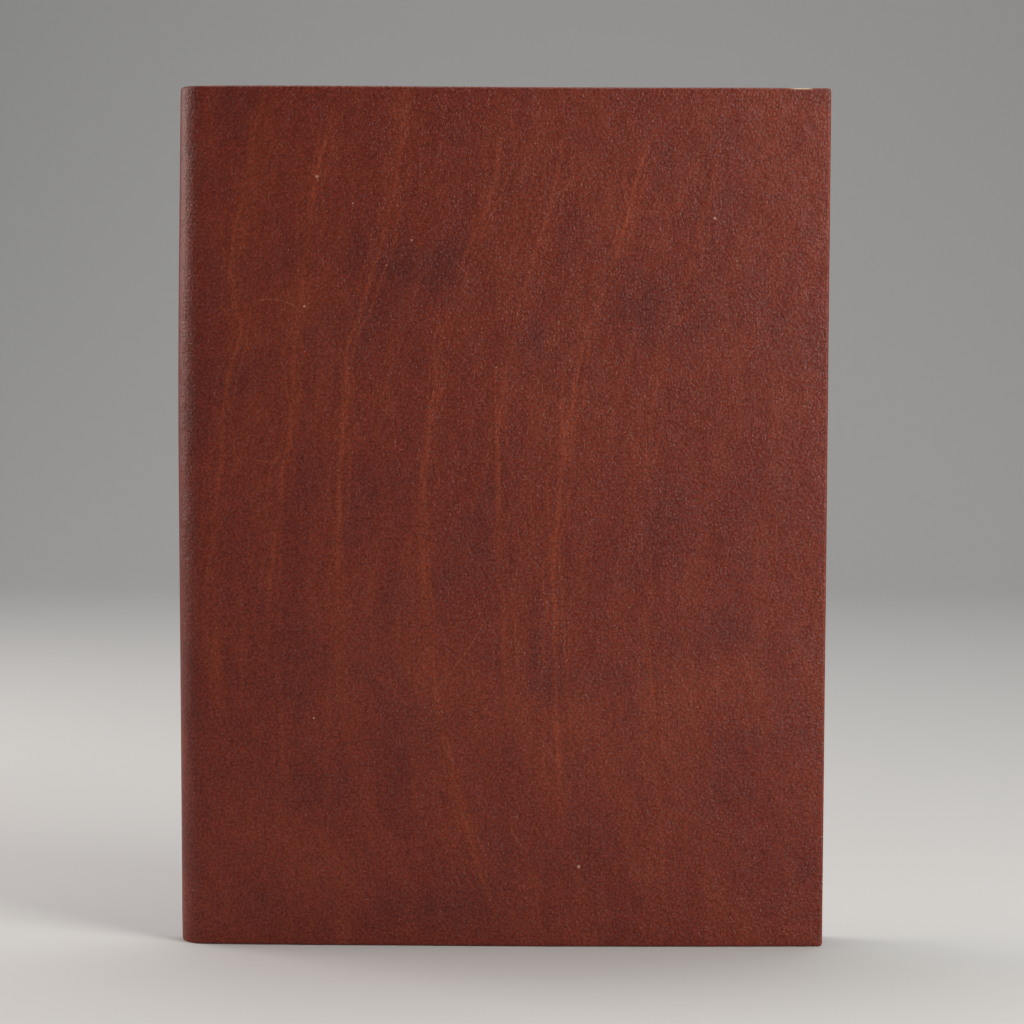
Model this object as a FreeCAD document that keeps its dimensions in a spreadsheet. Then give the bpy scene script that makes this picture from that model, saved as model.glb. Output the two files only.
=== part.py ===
import FreeCAD, Part
import Sketcher
import math
import os

# Leather notebook cover for an A5 soft-cover notebook, standing closed on its
# bottom edge.  Millimetres, +Z up.  The origin is on the bottom edge, in the
# middle of the width and of the thickness.  The front panel is on the -Y side,
# the rounded spine on the -X side and the fore-edge on the +X side.
#
# Build-up of each panel, from outside to inside: leather with turned edges,
# board, lining, the notebook's card cover in its pocket, pocket leather.

doc = FreeCAD.newDocument("notebook_cover")

# ----------------------------------------------------------------- dimensions
sheet = doc.addObject("Spreadsheet::Sheet", "Params")
CELLS = [
    ("CoverWidth", 166.0, "closed width, spine to fore-edge"),
    ("CoverHeight", 220.0, "height of the cover"),
    ("SpineRadius", 7.0, "outer radius of the spine, half the thickness"),
    ("LeatherThick", 1.2, "outer leather"),
    ("BoardThick", 1.2, "panel board"),
    ("LiningThick", 0.5, "lining, and the pared turn-in beside it"),
    ("StiffThick", 0.5, "spine stiffener"),
    ("TurnIn", 13.0, "width of the turned-in leather"),
    ("CornerRadius", 2.2, "outer corners at the fore-edge"),
    ("EdgeRadius", 0.8, "turned outer edge"),
    ("PanelGap", 0.5, "from the spine centre to a panel's hinge edge"),
    ("SpineSweep", 172.0, "arc of the spine, degrees"),
    ("CardThick", 0.35, "card cover of the notebook"),
    ("CardPlay", 0.05, "between the lining and the card"),
    ("PocketBand", 3.0, "glued and stitched border of a pocket"),
    ("PocketInset", 1.5, "pocket edge from the cover edge"),
    ("PocketWidth", 78.0, "depth of the sleeve pockets"),
    ("PocketFoot", 0.45, "height of the border under the pocket leather"),
    ("PocketThick", 0.6, "pocket leather"),
    ("CardPocketWide", 66.0, "card pocket, width"),
    ("CardPocketTall", 62.0, "card pocket, height"),
    ("CardPocketThick", 0.55, "card pocket leather"),
    ("CardPocketLow", 82.0, "card pocket, lower edge"),
    ("CardPocketInset", 6.5, "card pocket edge from the sleeve's outer edge"),
    ("PageWide", 148.0, "A5 page"),
    ("PageTall", 210.0, "A5 page"),
    ("PageBack", 75.0, "bound edge of the pages, left of the middle"),
    ("BlockThick", 4.65, "all the sections together"),
    ("BlockFront", 2.05, "front face of the first section, ahead of the middle"),
    ("SectionCount", 6, "sewn sections"),
    ("FoldRadius", 0.3, "rounded fold of a section"),
    ("StitchPitch", 4.0, "stitch spacing"),
    ("StitchLong", 2.9, "length of one stitch"),
    ("StitchWide", 0.55, "width of the thread"),
    ("StitchProud", 0.18, "stitch above the leather"),
    ("StitchInset", 2.0, "stitch line from the pocket edge"),
    ("BindThread", 0.24, "binding thread"),
]
VALUE = {}
for row, (alias, number, note) in enumerate(CELLS, start=1):
    sheet.set("A%d" % row, alias)
    sheet.set("B%d" % row, str(number))
    sheet.set("C%d" % row, note)
    sheet.setAlias("B%d" % row, alias)
doc.recompute()
for alias, number, note in CELLS:
    VALUE[alias] = float(getattr(sheet, alias))


class Dim:
    """A length that knows its value and the sheet expression it comes from."""

    def __init__(self, value, text):
        self.v = float(value)
        self.t = text

    @staticmethod
    def of(other):
        if isinstance(other, Dim):
            return other
        return Dim(other, repr(float(other)))

    def __add__(self, o):
        o = Dim.of(o)
        return Dim(self.v + o.v, "(%s + %s)" % (self.t, o.t))

    def __radd__(self, o):
        return Dim.of(o) + self

    def __sub__(self, o):
        o = Dim.of(o)
        return Dim(self.v - o.v, "(%s - %s)" % (self.t, o.t))

    def __rsub__(self, o):
        return Dim.of(o) - self

    def __mul__(self, o):
        o = Dim.of(o)
        return Dim(self.v * o.v, "(%s * %s)" % (self.t, o.t))

    def __rmul__(self, o):
        return Dim.of(o) * self

    def __truediv__(self, o):
        o = Dim.of(o)
        return Dim(self.v / o.v, "(%s / %s)" % (self.t, o.t))

    def __neg__(self):
        return Dim(-self.v, "(0 - %s)" % self.t)


def P(alias):
    return Dim(VALUE[alias], "Params.%s" % alias)


ZERO = Dim(0.0, "0")

# main derived positions
half_w = P("CoverWidth") / 2
tall = P("CoverHeight")
R = P("SpineRadius")
leather = P("LeatherThick")
board = P("BoardThick")
lining = P("LiningThick")
spine_x = R - half_w                      # centre line of the rounded spine
panel_x0 = spine_x + P("PanelGap")        # hinge edge of both panels
panel_len = half_w - panel_x0
board_y = R - leather                     # outer face of the board, from the middle
lining_y = board_y - board                # outer face of the lining
inner_y = lining_y - lining               # inner face of the lining
card_y = inner_y - P("CardPlay")          # outer face of the card cover
sleeve_y = inner_y - P("PocketFoot")      # outer face of the pocket leather
pocket_y = sleeve_y - P("PocketThick")    # inner face of the pocket leather

PARTS = []


# -------------------------------------------------------------------- helpers
def plane_of(body, role):
    for feature in body.Origin.OriginFeatures:
        if feature.Role == role:
            return feature
    raise RuntimeError("no plane " + role)


def bind(obj, prop, dim):
    obj.setExpression(prop, dim.t)


def new_body(label):
    body = doc.addObject("PartDesign::Body", label)
    body.Label = label
    PARTS.append(body)
    return body


def outline(body, name, role, origin, points):
    """A closed polygon.  points are Dims from origin, none of them negative."""
    sk = body.newObject("Sketcher::SketchObject", name)
    sk.AttachmentSupport = [(plane_of(body, role), "")]
    sk.MapMode = "FlatFace"
    for axis, dim in zip("xyz", origin):
        bind(sk, "AttachmentOffset.Base." + axis, dim)
    n = len(points)
    for i in range(n):
        a, b = points[i], points[(i + 1) % n]
        sk.addGeometry(Part.LineSegment(FreeCAD.Vector(a[0].v, a[1].v, 0),
                                        FreeCAD.Vector(b[0].v, b[1].v, 0)), False)
    for i in range(n):
        sk.addConstraint(Sketcher.Constraint("Coincident", i, 2, (i + 1) % n, 1))
    for i, (px, py) in enumerate(points):
        if abs(px.v) < 1e-9:
            sk.addConstraint(Sketcher.Constraint("PointOnObject", i, 1, -2))
        else:
            k = sk.addConstraint(Sketcher.Constraint("DistanceX", -1, 1, i, 1, px.v))
            sk.setExpression("Constraints[%d]" % k, px.t)
        if abs(py.v) < 1e-9:
            sk.addConstraint(Sketcher.Constraint("PointOnObject", i, 1, -1))
        else:
            k = sk.addConstraint(Sketcher.Constraint("DistanceY", -1, 1, i, 1, py.v))
            sk.setExpression("Constraints[%d]" % k, py.t)
    return sk


def pad(body, sk, length, reverse):
    feature = body.newObject("PartDesign::Pad", sk.Name + "_pad")
    feature.Profile = sk
    bind(feature, "Length", length)
    feature.Reversed = reverse
    sk.Visibility = False
    doc.recompute()
    return feature


def edges_where(feature, test):
    names = []
    for i, edge in enumerate(feature.Shape.Edges, start=1):
        if test(edge):
            names.append("Edge%d" % i)
    return names


def fillet(body, base, names, radius, name):
    feature = body.newObject("PartDesign::Fillet", name)
    feature.Base = (base, names)
    bind(feature, "Radius", radius)
    doc.recompute()
    return feature


def rect(w, tallness):
    return [(ZERO, ZERO), (w, ZERO), (w, tallness), (ZERO, tallness)]


def slab(label, side, x0, z0, w, tallness, y_outer, thick):
    """A plain sheet of one panel.  side is -1 at the front, +1 at the back;
    y_outer is the distance of its outer face from the middle plane."""
    body = new_body(label)
    y_inner = y_outer - thick
    # the sketch plane's normal is -Y, so a front sheet grows along it
    off = y_inner if side < 0 else -y_inner
    sk = outline(body, label + "_outline", "XZ_Plane", (x0, z0, off), rect(w, tallness))
    pad(body, sk, thick, side > 0)
    return body


# --------------------------------------------------- outer leather of the panels
def panel_leather(label, side):
    """Face leather, folded round the board at the head, tail and fore-edge and
    turned in over it.  The hinge edge runs on into the spine, so it is open."""
    body = new_body(label)
    back = side > 0

    def at(y):
        return -y if back else y

    # face
    sk = outline(body, label + "_face", "XZ_Plane", (panel_x0, ZERO, at(board_y)),
                 rect(panel_len, tall))
    pad(body, sk, leather, back)
    # folded edge round the board
    w, t = panel_len, tall
    u = leather
    sk = outline(body, label + "_fold", "XZ_Plane", (panel_x0, ZERO, at(lining_y)), [
        (ZERO, ZERO), (w, ZERO), (w, t), (ZERO, t),
        (ZERO, t - u), (w - u, t - u), (w - u, u), (ZERO, u)])
    pad(body, sk, board, back)
    # pared turn-in on the inside
    u = P("TurnIn")
    sk = outline(body, label + "_turn", "XZ_Plane", (panel_x0, ZERO, at(inner_y)), [
        (ZERO, ZERO), (w, ZERO), (w, t), (ZERO, t),
        (ZERO, t - u), (w - u, t - u), (w - u, u), (ZERO, u)])
    last = pad(body, sk, lining, back)

    # rounded corners at the fore-edge
    def corner(edge):
        box = edge.BoundBox
        return (box.YLength > 2.5 and box.XLength < 0.01 and box.ZLength < 0.01
                and abs(box.XMin - half_w.v) < 0.01)
    last = fillet(body, last, edges_where(last, corner), P("CornerRadius"), label + "_corners")

    # softly turned outer edge
    outer = -R.v if side < 0 else R.v

    def turned(edge):
        box = edge.BoundBox
        if abs(box.YMin - outer) > 0.01 or abs(box.YMax - outer) > 0.01:
            return False
        return not (box.XLength < 0.01 and abs(box.XMin - panel_x0.v) < 0.01)
    fillet(body, last, edges_where(last, turned), P("EdgeRadius"), label + "_edge")
    return body


front_leather = panel_leather("front_outer_leather", -1)
back_leather = panel_leather("back_outer_leather", 1)

# ------------------------------------------------------------ boards and linings
for side, name in ((-1, "front"), (1, "back")):
    slab(name + "_board", side, panel_x0, leather, panel_len - leather,
         tall - 2 * leather, board_y, board)
    slab(name + "_lining", side, panel_x0, P("TurnIn"), panel_len - P("TurnIn"),
         tall - 2 * P("TurnIn"), lining_y, lining)


# ---------------------------------------------------------------- rounded spine
def spine_piece(label, profile):
    """A profile of radius and height, turned about the spine's centre line and
    facing -X."""
    body = new_body(label)
    body.Placement = FreeCAD.Placement(FreeCAD.Vector(spine_x.v, 0, 0),
                                       FreeCAD.Rotation(FreeCAD.Vector(0, 0, 1), 180))
    bind(body, "Placement.Base.x", spine_x)
    sk = outline(body, label + "_profile", "XZ_Plane", (ZERO, ZERO, ZERO), profile)
    feature = body.newObject("PartDesign::Revolution", label + "_turn")
    feature.Profile = sk
    feature.ReferenceAxis = (sk, ["V_Axis"])
    feature.Midplane = True
    bind(feature, "Angle", P("SpineSweep"))
    sk.Visibility = False
    doc.recompute()
    return body


r_stiff = R - leather
r_lining = r_stiff - P("StiffThick")
r_in = r_lining - lining
t_in = P("TurnIn")
spine_piece("spine_outer_leather", [
    (r_in, ZERO), (R, ZERO), (R, tall), (r_in, tall),
    (r_in, tall - t_in), (r_lining, tall - t_in), (r_lining, tall - leather),
    (r_stiff, tall - leather), (r_stiff, leather), (r_lining, leather),
    (r_lining, t_in), (r_in, t_in)])
spine_piece("spine_stiffener", [
    (r_lining, leather), (r_stiff, leather), (r_stiff, tall - leather), (r_lining, tall - leather)])
spine_piece("spine_lining", [
    (r_in, t_in), (r_lining, t_in), (r_lining, tall - t_in), (r_in, tall - t_in)])


# --------------------------------------------------------------- sleeve pockets
pocket_w = P("PocketWidth")
pocket_x0 = half_w - P("PocketInset") - pocket_w
pocket_z0 = P("PocketInset")
pocket_t = tall - 2 * P("PocketInset")


def sleeve(label, side):
    """Pocket leather on a low border that is closed at the head, tail and
    fore-edge; the notebook's card cover slides in from the spine side."""
    body = new_body(label)
    back = side > 0

    def at(y):
        return -y if back else y

    sk = outline(body, label + "_leaf", "XZ_Plane", (pocket_x0, pocket_z0, at(pocket_y)),
                 rect(pocket_w, pocket_t))
    pad(body, sk, P("PocketThick"), back)
    w, t, u = pocket_w, pocket_t, P("PocketBand")
    sk = outline(body, label + "_border", "XZ_Plane", (pocket_x0, pocket_z0, at(sleeve_y)), [
        (ZERO, ZERO), (w, ZERO), (w, t), (ZERO, t),
        (ZERO, t - u), (w - u, t - u), (w - u, u), (ZERO, u)])
    last = pad(body, sk, P("PocketFoot"), back)

    def corner(edge):
        box = edge.BoundBox
        return (box.YLength > 1.0 and box.XLength < 0.01 and box.ZLength < 0.01
                and abs(box.XMin - pocket_x0.v - pocket_w.v) < 0.01)
    fillet(body, last, edges_where(last, corner), P("CornerRadius") * 0.6, label + "_corners")
    return body


sleeve("front_pocket", -1)
sleeve("back_pocket", 1)

# card pocket on the front sleeve, open towards the spine
cp_w, cp_t = P("CardPocketWide"), P("CardPocketTall")
cp_x0 = half_w - P("PocketInset") - P("CardPocketInset") - cp_w
cp_z0 = P("CardPocketLow")
slab("card_pocket", -1, cp_x0, cp_z0, cp_w, cp_t, pocket_y, P("CardPocketThick"))


# -------------------------------------------------------------------- stitching
def stitches(label, side, y_face, runs):
    """Separate stitches, each a bar on the leather's face.  runs are straight
    lines from (x, z) to (x, z)."""
    pitch, long_, wide, proud = (VALUE[k] for k in
                                 ("StitchPitch", "StitchLong", "StitchWide", "StitchProud"))
    solids = []
    y_face = y_face.v
    for (xa, za), (xb, zb) in runs:
        length = math.hypot(xb - xa, zb - za)
        count = max(1, int(round(length / pitch)))
        step = length / count
        ux, uz = (xb - xa) / length, (zb - za) / length
        for i in range(count):
            c = (i + 0.5) * step
            cx, cz = xa + ux * c, za + uz * c
            # bar with rounded ends, drawn in the face and raised off it
            hl, hw = long_ / 2 - wide / 2, wide / 2
            vx, vz = -uz, ux

            def pt(a, b):
                return FreeCAD.Vector(cx + ux * a + vx * b, 0, cz + uz * a + vz * b)
            wire = Part.Wire([
                Part.makeLine(pt(-hl, -hw), pt(hl, -hw)),
                Part.Arc(pt(hl, -hw), pt(hl + hw, 0), pt(hl, hw)).toShape(),
                Part.makeLine(pt(hl, hw), pt(-hl, hw)),
                Part.Arc(pt(-hl, hw), pt(-hl - hw, 0), pt(-hl, -hw)).toShape()])
            solid = Part.Face(wire).extrude(FreeCAD.Vector(0, proud, 0))
            y0 = -y_face if side < 0 else y_face - proud
            solid.translate(FreeCAD.Vector(0, y0, 0))
            solids.append(solid)
    feature = doc.addObject("Part::Feature", label)
    feature.Label = label
    feature.Shape = Part.makeCompound(solids)
    feature.Placement = FreeCAD.Placement()
    PARTS.append(feature)
    return feature


si = VALUE["StitchInset"]
px0, px1 = pocket_x0.v, pocket_x0.v + pocket_w.v
pz0, pz1 = pocket_z0.v, pocket_z0.v + pocket_t.v
sleeve_runs = [((px0 + 1.5, pz0 + si), (px1 - si - 0.9, pz0 + si)),
               ((px1 - si, pz0 + si + 0.9), (px1 - si, pz1 - si - 0.9)),
               ((px1 - si - 0.9, pz1 - si), (px0 + 1.5, pz1 - si))]
stitches("front_pocket_thread", -1, pocket_y, sleeve_runs)
stitches("back_pocket_thread", 1, pocket_y, sleeve_runs)
cx0, cx1 = cp_x0.v, cp_x0.v + cp_w.v
cz0, cz1 = cp_z0.v, cp_z0.v + cp_t.v
stitches("card_pocket_thread", -1, pocket_y - P("CardPocketThick"), [
    ((cx0 + 1.5, cz0 + si), (cx1 - si - 0.9, cz0 + si)),
    ((cx1 - si, cz0 + si + 0.9), (cx1 - si, cz1 - si - 0.9)),
    ((cx1 - si - 0.9, cz1 - si), (cx0 + 1.5, cz1 - si))])

# ------------------------------------------------------- the notebook it carries
page_x0 = -P("PageBack")
page_z0 = (tall - P("PageTall")) / 2
card_t = P("CardThick")
card_x0 = page_x0 - 0.3 - card_t
slab("refill_front_cover", -1, panel_x0 + 0.3, page_z0, P("PageWide") - 0.3, P("PageTall"),
     card_y, card_t)

# back cover and spine strip of the notebook, one folded card
body = new_body("refill_back_cover")
card_w = P("PageWide") + 0.3 + card_t
sk = outline(body, "refill_back_leaf", "XZ_Plane", (card_x0, page_z0, -(card_y - card_t)),
             rect(card_w, P("PageTall")))
pad(body, sk, card_t, True)
sk = outline(body, "refill_spine_strip", "XZ_Plane", (card_x0, page_z0, P("BlockFront")),
             rect(card_t, P("PageTall")))
pad(body, sk, P("BlockFront") + card_y - card_t, True)

# sewn sections, each with a rounded fold at the bound edge
count = int(VALUE["SectionCount"])
sec_t = P("BlockThick") / count
for i in range(count):
    label = "page_section_%d" % (i + 1)
    body = new_body(label)
    y_front = P("BlockFront") - sec_t * i
    sk = outline(body, label + "_outline", "XZ_Plane", (page_x0, page_z0, y_front),
                 rect(P("PageWide"), P("PageTall")))
    base = pad(body, sk, sec_t, True)

    def fold(edge):
        box = edge.BoundBox
        return (box.ZLength > 100 and box.XLength < 0.01 and box.YLength < 0.01
                and abs(box.XMin - page_x0.v) < 0.01)
    fillet(body, base, edges_where(base, fold), P("FoldRadius"), label + "_fold")

# binding thread: kettle stitches down the backs of the sections
bt = VALUE["BindThread"]
solids = []
for station in (0.08, 0.3, 0.42, 0.58, 0.7, 0.92):
    zc = page_z0.v + VALUE["PageTall"] * station
    for i in range(count):
        yc = -VALUE["BlockFront"] + sec_t.v * (i + 0.5)
        bar = Part.makeBox(bt, bt, 9.0, FreeCAD.Vector(page_x0.v - bt - 0.02, yc - bt / 2, zc - 4.5))
        solids.append(bar)
feature = doc.addObject("Part::Feature", "binding_thread")
feature.Label = "binding_thread"
feature.Shape = Part.makeCompound(solids)
feature.Placement = FreeCAD.Placement()
PARTS.append(feature)

# ------------------------------------------------------------ checks and output
doc.recompute()
for obj in doc.Objects:
    if "Invalid" in obj.State or "Error" in obj.State:
        raise RuntimeError("%s is %s" % (obj.Label, obj.State))
labels = set()
for obj in PARTS:
    shape = obj.Shape
    if shape.isNull() or not shape.isValid() or not shape.Solids:
        raise RuntimeError("bad shape in " + obj.Label)
    if obj.Label in labels:
        raise RuntimeError("two parts are called " + obj.Label)
    labels.add(obj.Label)

os.makedirs("parts", exist_ok=True)
for obj in PARTS:
    obj.Shape.exportStep("parts/%s.step" % obj.Label)
    box = obj.Shape.BoundBox
    print("%-22s solids %3d  volume %10.2f  x %8.2f %8.2f  y %6.2f %6.2f  z %7.2f %7.2f" % (
        obj.Label, len(obj.Shape.Solids), obj.Shape.Volume,
        box.XMin, box.XMax, box.YMin, box.YMax, box.ZMin, box.ZMax))
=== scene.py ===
import bpy
import bmesh
import math
import numpy as np
from mathutils import Matrix, Vector


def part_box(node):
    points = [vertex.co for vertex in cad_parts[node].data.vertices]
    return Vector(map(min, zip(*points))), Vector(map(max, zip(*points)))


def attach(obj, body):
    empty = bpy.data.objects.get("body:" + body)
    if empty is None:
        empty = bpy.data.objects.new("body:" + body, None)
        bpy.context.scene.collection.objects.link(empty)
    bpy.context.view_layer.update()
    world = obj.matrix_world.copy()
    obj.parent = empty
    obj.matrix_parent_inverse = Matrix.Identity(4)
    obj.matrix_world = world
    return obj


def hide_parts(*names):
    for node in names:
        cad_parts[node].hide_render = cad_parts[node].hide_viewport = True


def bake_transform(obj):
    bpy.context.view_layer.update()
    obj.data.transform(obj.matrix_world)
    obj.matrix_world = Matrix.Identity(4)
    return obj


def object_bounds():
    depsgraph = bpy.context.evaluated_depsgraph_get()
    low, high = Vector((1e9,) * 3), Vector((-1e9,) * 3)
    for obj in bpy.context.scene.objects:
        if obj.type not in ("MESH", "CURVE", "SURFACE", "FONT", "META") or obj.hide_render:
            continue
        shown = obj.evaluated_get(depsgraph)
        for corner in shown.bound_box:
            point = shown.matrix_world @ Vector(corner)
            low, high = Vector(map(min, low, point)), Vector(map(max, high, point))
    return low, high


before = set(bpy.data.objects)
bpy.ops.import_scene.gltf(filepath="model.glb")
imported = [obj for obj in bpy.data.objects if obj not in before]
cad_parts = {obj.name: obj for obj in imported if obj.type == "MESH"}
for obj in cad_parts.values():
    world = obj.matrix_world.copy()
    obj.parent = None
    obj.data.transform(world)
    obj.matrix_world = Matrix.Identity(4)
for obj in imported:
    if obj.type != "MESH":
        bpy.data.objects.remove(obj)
cad_lo, cad_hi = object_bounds()

# ---------------------------------------------------------------- dimensions
# Everything below is worked out in millimetres and written in metres.
MM = 0.001
X0, X1 = cad_lo.x * 1e3, cad_hi.x * 1e3
X1 = round(X1, 1)
H = round(cad_hi.z * 1e3, 1)
R = round(cad_hi.y * 1e3, 1)
XS = X0 + R                      # centre line of the rounded spine
ARC = R * math.pi / 2            # half of the spine's outline
S = ARC + (X1 - XS)              # from the middle of the spine to the fore-edge
T_PANEL = 2.9                    # leather, board and turn-in
T_SPINE = 2.2                    # leather, stiffener and lining
TURN = 13.0
BOW = {-1: 1.5, 1: 1.0}          # how far each panel stands proud in the middle
page_lo, page_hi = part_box("page_section_1")
PX0, PX1 = page_lo.x * 1e3, page_hi.x * 1e3
PZ0, PZ1 = page_lo.z * 1e3, page_hi.z * 1e3
PY0 = page_lo.y * 1e3
PY1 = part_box("page_section_6")[1].y * 1e3


def smooth(a, b, x):
    t = np.clip((np.asarray(x, float) - a) / (b - a), 0, 1)
    return t * t * (3 - 2 * t)


# ------------------------------------------------- the cover's shape as a map
# s runs round the cover from the middle of the spine to the fore-edge, z up,
# and d inwards from the outer face of the leather.
_step = 0.05
_s = np.arange(-12.0, S + 8.0, _step)


def _plan_table(bow):
    phi = _s / R
    t = np.clip((_s - ARC) / (S - ARC), 0, None)
    x = np.where(_s < ARC, XS - R * np.cos(phi), XS + (_s - ARC))
    y = np.where(_s < ARC, -R * np.sin(phi), -(R + bow * 4 * t * (1 - t)))
    k = np.exp(-0.5 * (np.arange(-60, 61) * _step / 0.9) ** 2)
    k /= k.sum()
    xp = np.concatenate([np.full(60, x[0]), x, np.full(60, x[-1])])
    yp = np.concatenate([np.full(60, y[0]), y, np.full(60, y[-1])])
    xs_, ys_ = np.convolve(xp, k, "valid"), np.convolve(yp, k, "valid")
    keep = smooth(ARC - 6, ARC - 2, _s) * (1 - smooth(ARC + 6, ARC + 12, _s))
    x, y = x * (1 - keep) + xs_ * keep, y * (1 - keep) + ys_ * keep
    tx, ty = np.gradient(x, _step), np.gradient(y, _step)
    ln = np.hypot(tx, ty)
    return x, y, ty / ln, -tx / ln


PLAN = {side: _plan_table(BOW[side]) for side in (-1, 1)}
_gz = np.array([0, 20, 36, 75, 113, 139, 165, 190, 208, 220.0])
_gv = np.array([0, 0.08, 0.20, 0.50, 0.84, 1.0, 0.80, 0.43, 0.12, 0.0])
_zz = np.linspace(0, 220, 441)
_gg = np.interp(_zz, _gz, _gv)
_kk = np.exp(-0.5 * (np.arange(-40, 41) * 0.5 / 7.0) ** 2)
_gg = np.convolve(np.pad(_gg, 40, mode="edge"), _kk / _kk.sum(), "valid")


def spine_swell(z):
    return 0.78 * np.interp(np.asarray(z) * 220.0 / H, _zz, _gg)


def thickness(s):
    return T_SPINE + (T_PANEL - T_SPINE) * smooth(ARC - 1.5, ARC + 2.0, s)


def unevenness(side, s, z):
    """Soft rise and fall of the leather over the board, and its pared edges."""
    p = 0.0 if side < 0 else 2.1
    w = smooth(2.0, 16.0, s)
    d = (0.055 * np.sin(s * 0.061 + z * 0.023 + 0.7 + p) + 0.05 * np.sin(s * 0.024 - z * 0.047 + 2.2 + p)
         + 0.03 * np.sin(s * 0.115 + z * 0.083 + 4.1 + p) + 0.025 * np.sin(s * 0.071 - z * 0.131 + 1.3 + p)
         + 0.016 * np.sin(s * 0.21 + z * 0.17 + 5.2 + p) + 0.014 * np.sin(-s * 0.27 + z * 0.23 + 3.3 + p))
    zi = np.minimum(z, H - z)
    d = d * w
    d = d - 0.17 * np.exp(-np.clip(zi, 0, None) / 2.6)
    d = d - 0.17 * np.exp(-np.clip(S - s, 0, None) / 2.6) * (s > ARC)
    return d


def place(side, s, z, d):
    s, z, d = (np.asarray(a, float) for a in (s, z, d))
    s, z, d = np.broadcast_arrays(s, z, d)
    px, py, nx, ny = (np.interp(s, _s, a) for a in PLAN[side])
    out = unevenness(side, s, z) - d
    x = px + nx * out
    y = py + ny * out
    phi = np.clip(s / R, 0, math.pi / 2)
    x = x - spine_swell(z) * np.cos(phi) ** 2
    zz = z + 0.10 * np.sin(s * 0.043 + (0.4 if side < 0 else 1.9)) * smooth(3, 20, s) * (z / H - 0.0) * (z > H * 0.5)
    return np.stack([x, -y if side > 0 else y, zz], -1)


# --------------------------------------------------------------- mesh helpers
def new_mesh(name, verts, faces, uv=None, attrs=None, merge=1e-6, smooth_faces=True):
    """verts in millimetres.  uv and attrs are per vertex."""
    me = bpy.data.meshes.new(name)
    me.from_pydata((np.asarray(verts) * MM).tolist(), [], faces)
    if uv is not None:
        layer = me.uv_layers.new(name="UVMap")
        idx = np.zeros(len(me.loops), np.int32)
        me.loops.foreach_get("vertex_index", idx)
        layer.data.foreach_set("uv", np.asarray(uv, np.float32)[idx].ravel() * MM)
    for key, values in (attrs or {}).items():
        a = me.attributes.new(key, "FLOAT", "POINT")
        a.data.foreach_set("value", np.asarray(values, np.float32))
    if merge:
        bm = bmesh.new()
        bm.from_mesh(me)
        bmesh.ops.remove_doubles(bm, verts=bm.verts, dist=merge)
        bmesh.ops.dissolve_degenerate(bm, edges=bm.edges, dist=1e-7)
        bm.to_mesh(me)
        bm.free()
    me.polygons.foreach_set("use_smooth", [smooth_faces] * len(me.polygons))
    me.update()
    ob = bpy.data.objects.new(name, me)
    bpy.context.scene.collection.objects.link(ob)
    return ob


def outward(ob, cap=False):
    bm = bmesh.new()
    bm.from_mesh(ob.data)
    if cap:
        edges = [e for e in bm.edges if e.is_boundary]
        made = bmesh.ops.holes_fill(bm, edges=edges, sides=0)
        for f in made["faces"]:
            for e in f.edges:
                e.smooth = False
            f.smooth = False
    bmesh.ops.recalc_face_normals(bm, faces=bm.faces)
    if bm.calc_volume(signed=True) < 0:
        bmesh.ops.reverse_faces(bm, faces=bm.faces)
    bm.to_mesh(ob.data)
    bm.free()
    ob.data.update()
    return ob


def loop_entries(sc, zr, m, open_start):
    """The outline round a grid: bottom, fore-edge, top, and the spine side if
    it is closed.  Each entry is a grid point and the direction out of it."""
    e = []
    for a in sc:
        e.append((a, zr[0], 0.0, -1.0))
    for k in range(1, m):
        th = math.pi / 2 * k / m
        e.append((sc[-1], zr[0], math.sin(th), -math.cos(th)))
    for b in zr:
        e.append((sc[-1], b, 1.0, 0.0))
    for k in range(1, m):
        th = math.pi / 2 * k / m
        e.append((sc[-1], zr[-1], math.cos(th), math.sin(th)))
    for a in sc[::-1]:
        e.append((a, zr[-1], 0.0, 1.0))
    if not open_start:
        for k in range(1, m):
            th = math.pi / 2 * k / m
            e.append((sc[0], zr[-1], -math.sin(th), math.cos(th)))
        for b in zr[::-1]:
            e.append((sc[0], b, -1.0, 0.0))
        for k in range(1, m):
            th = math.pi / 2 * k / m
            e.append((sc[0], zr[0], -math.cos(th), -math.sin(th)))
    return np.array(e)


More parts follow.
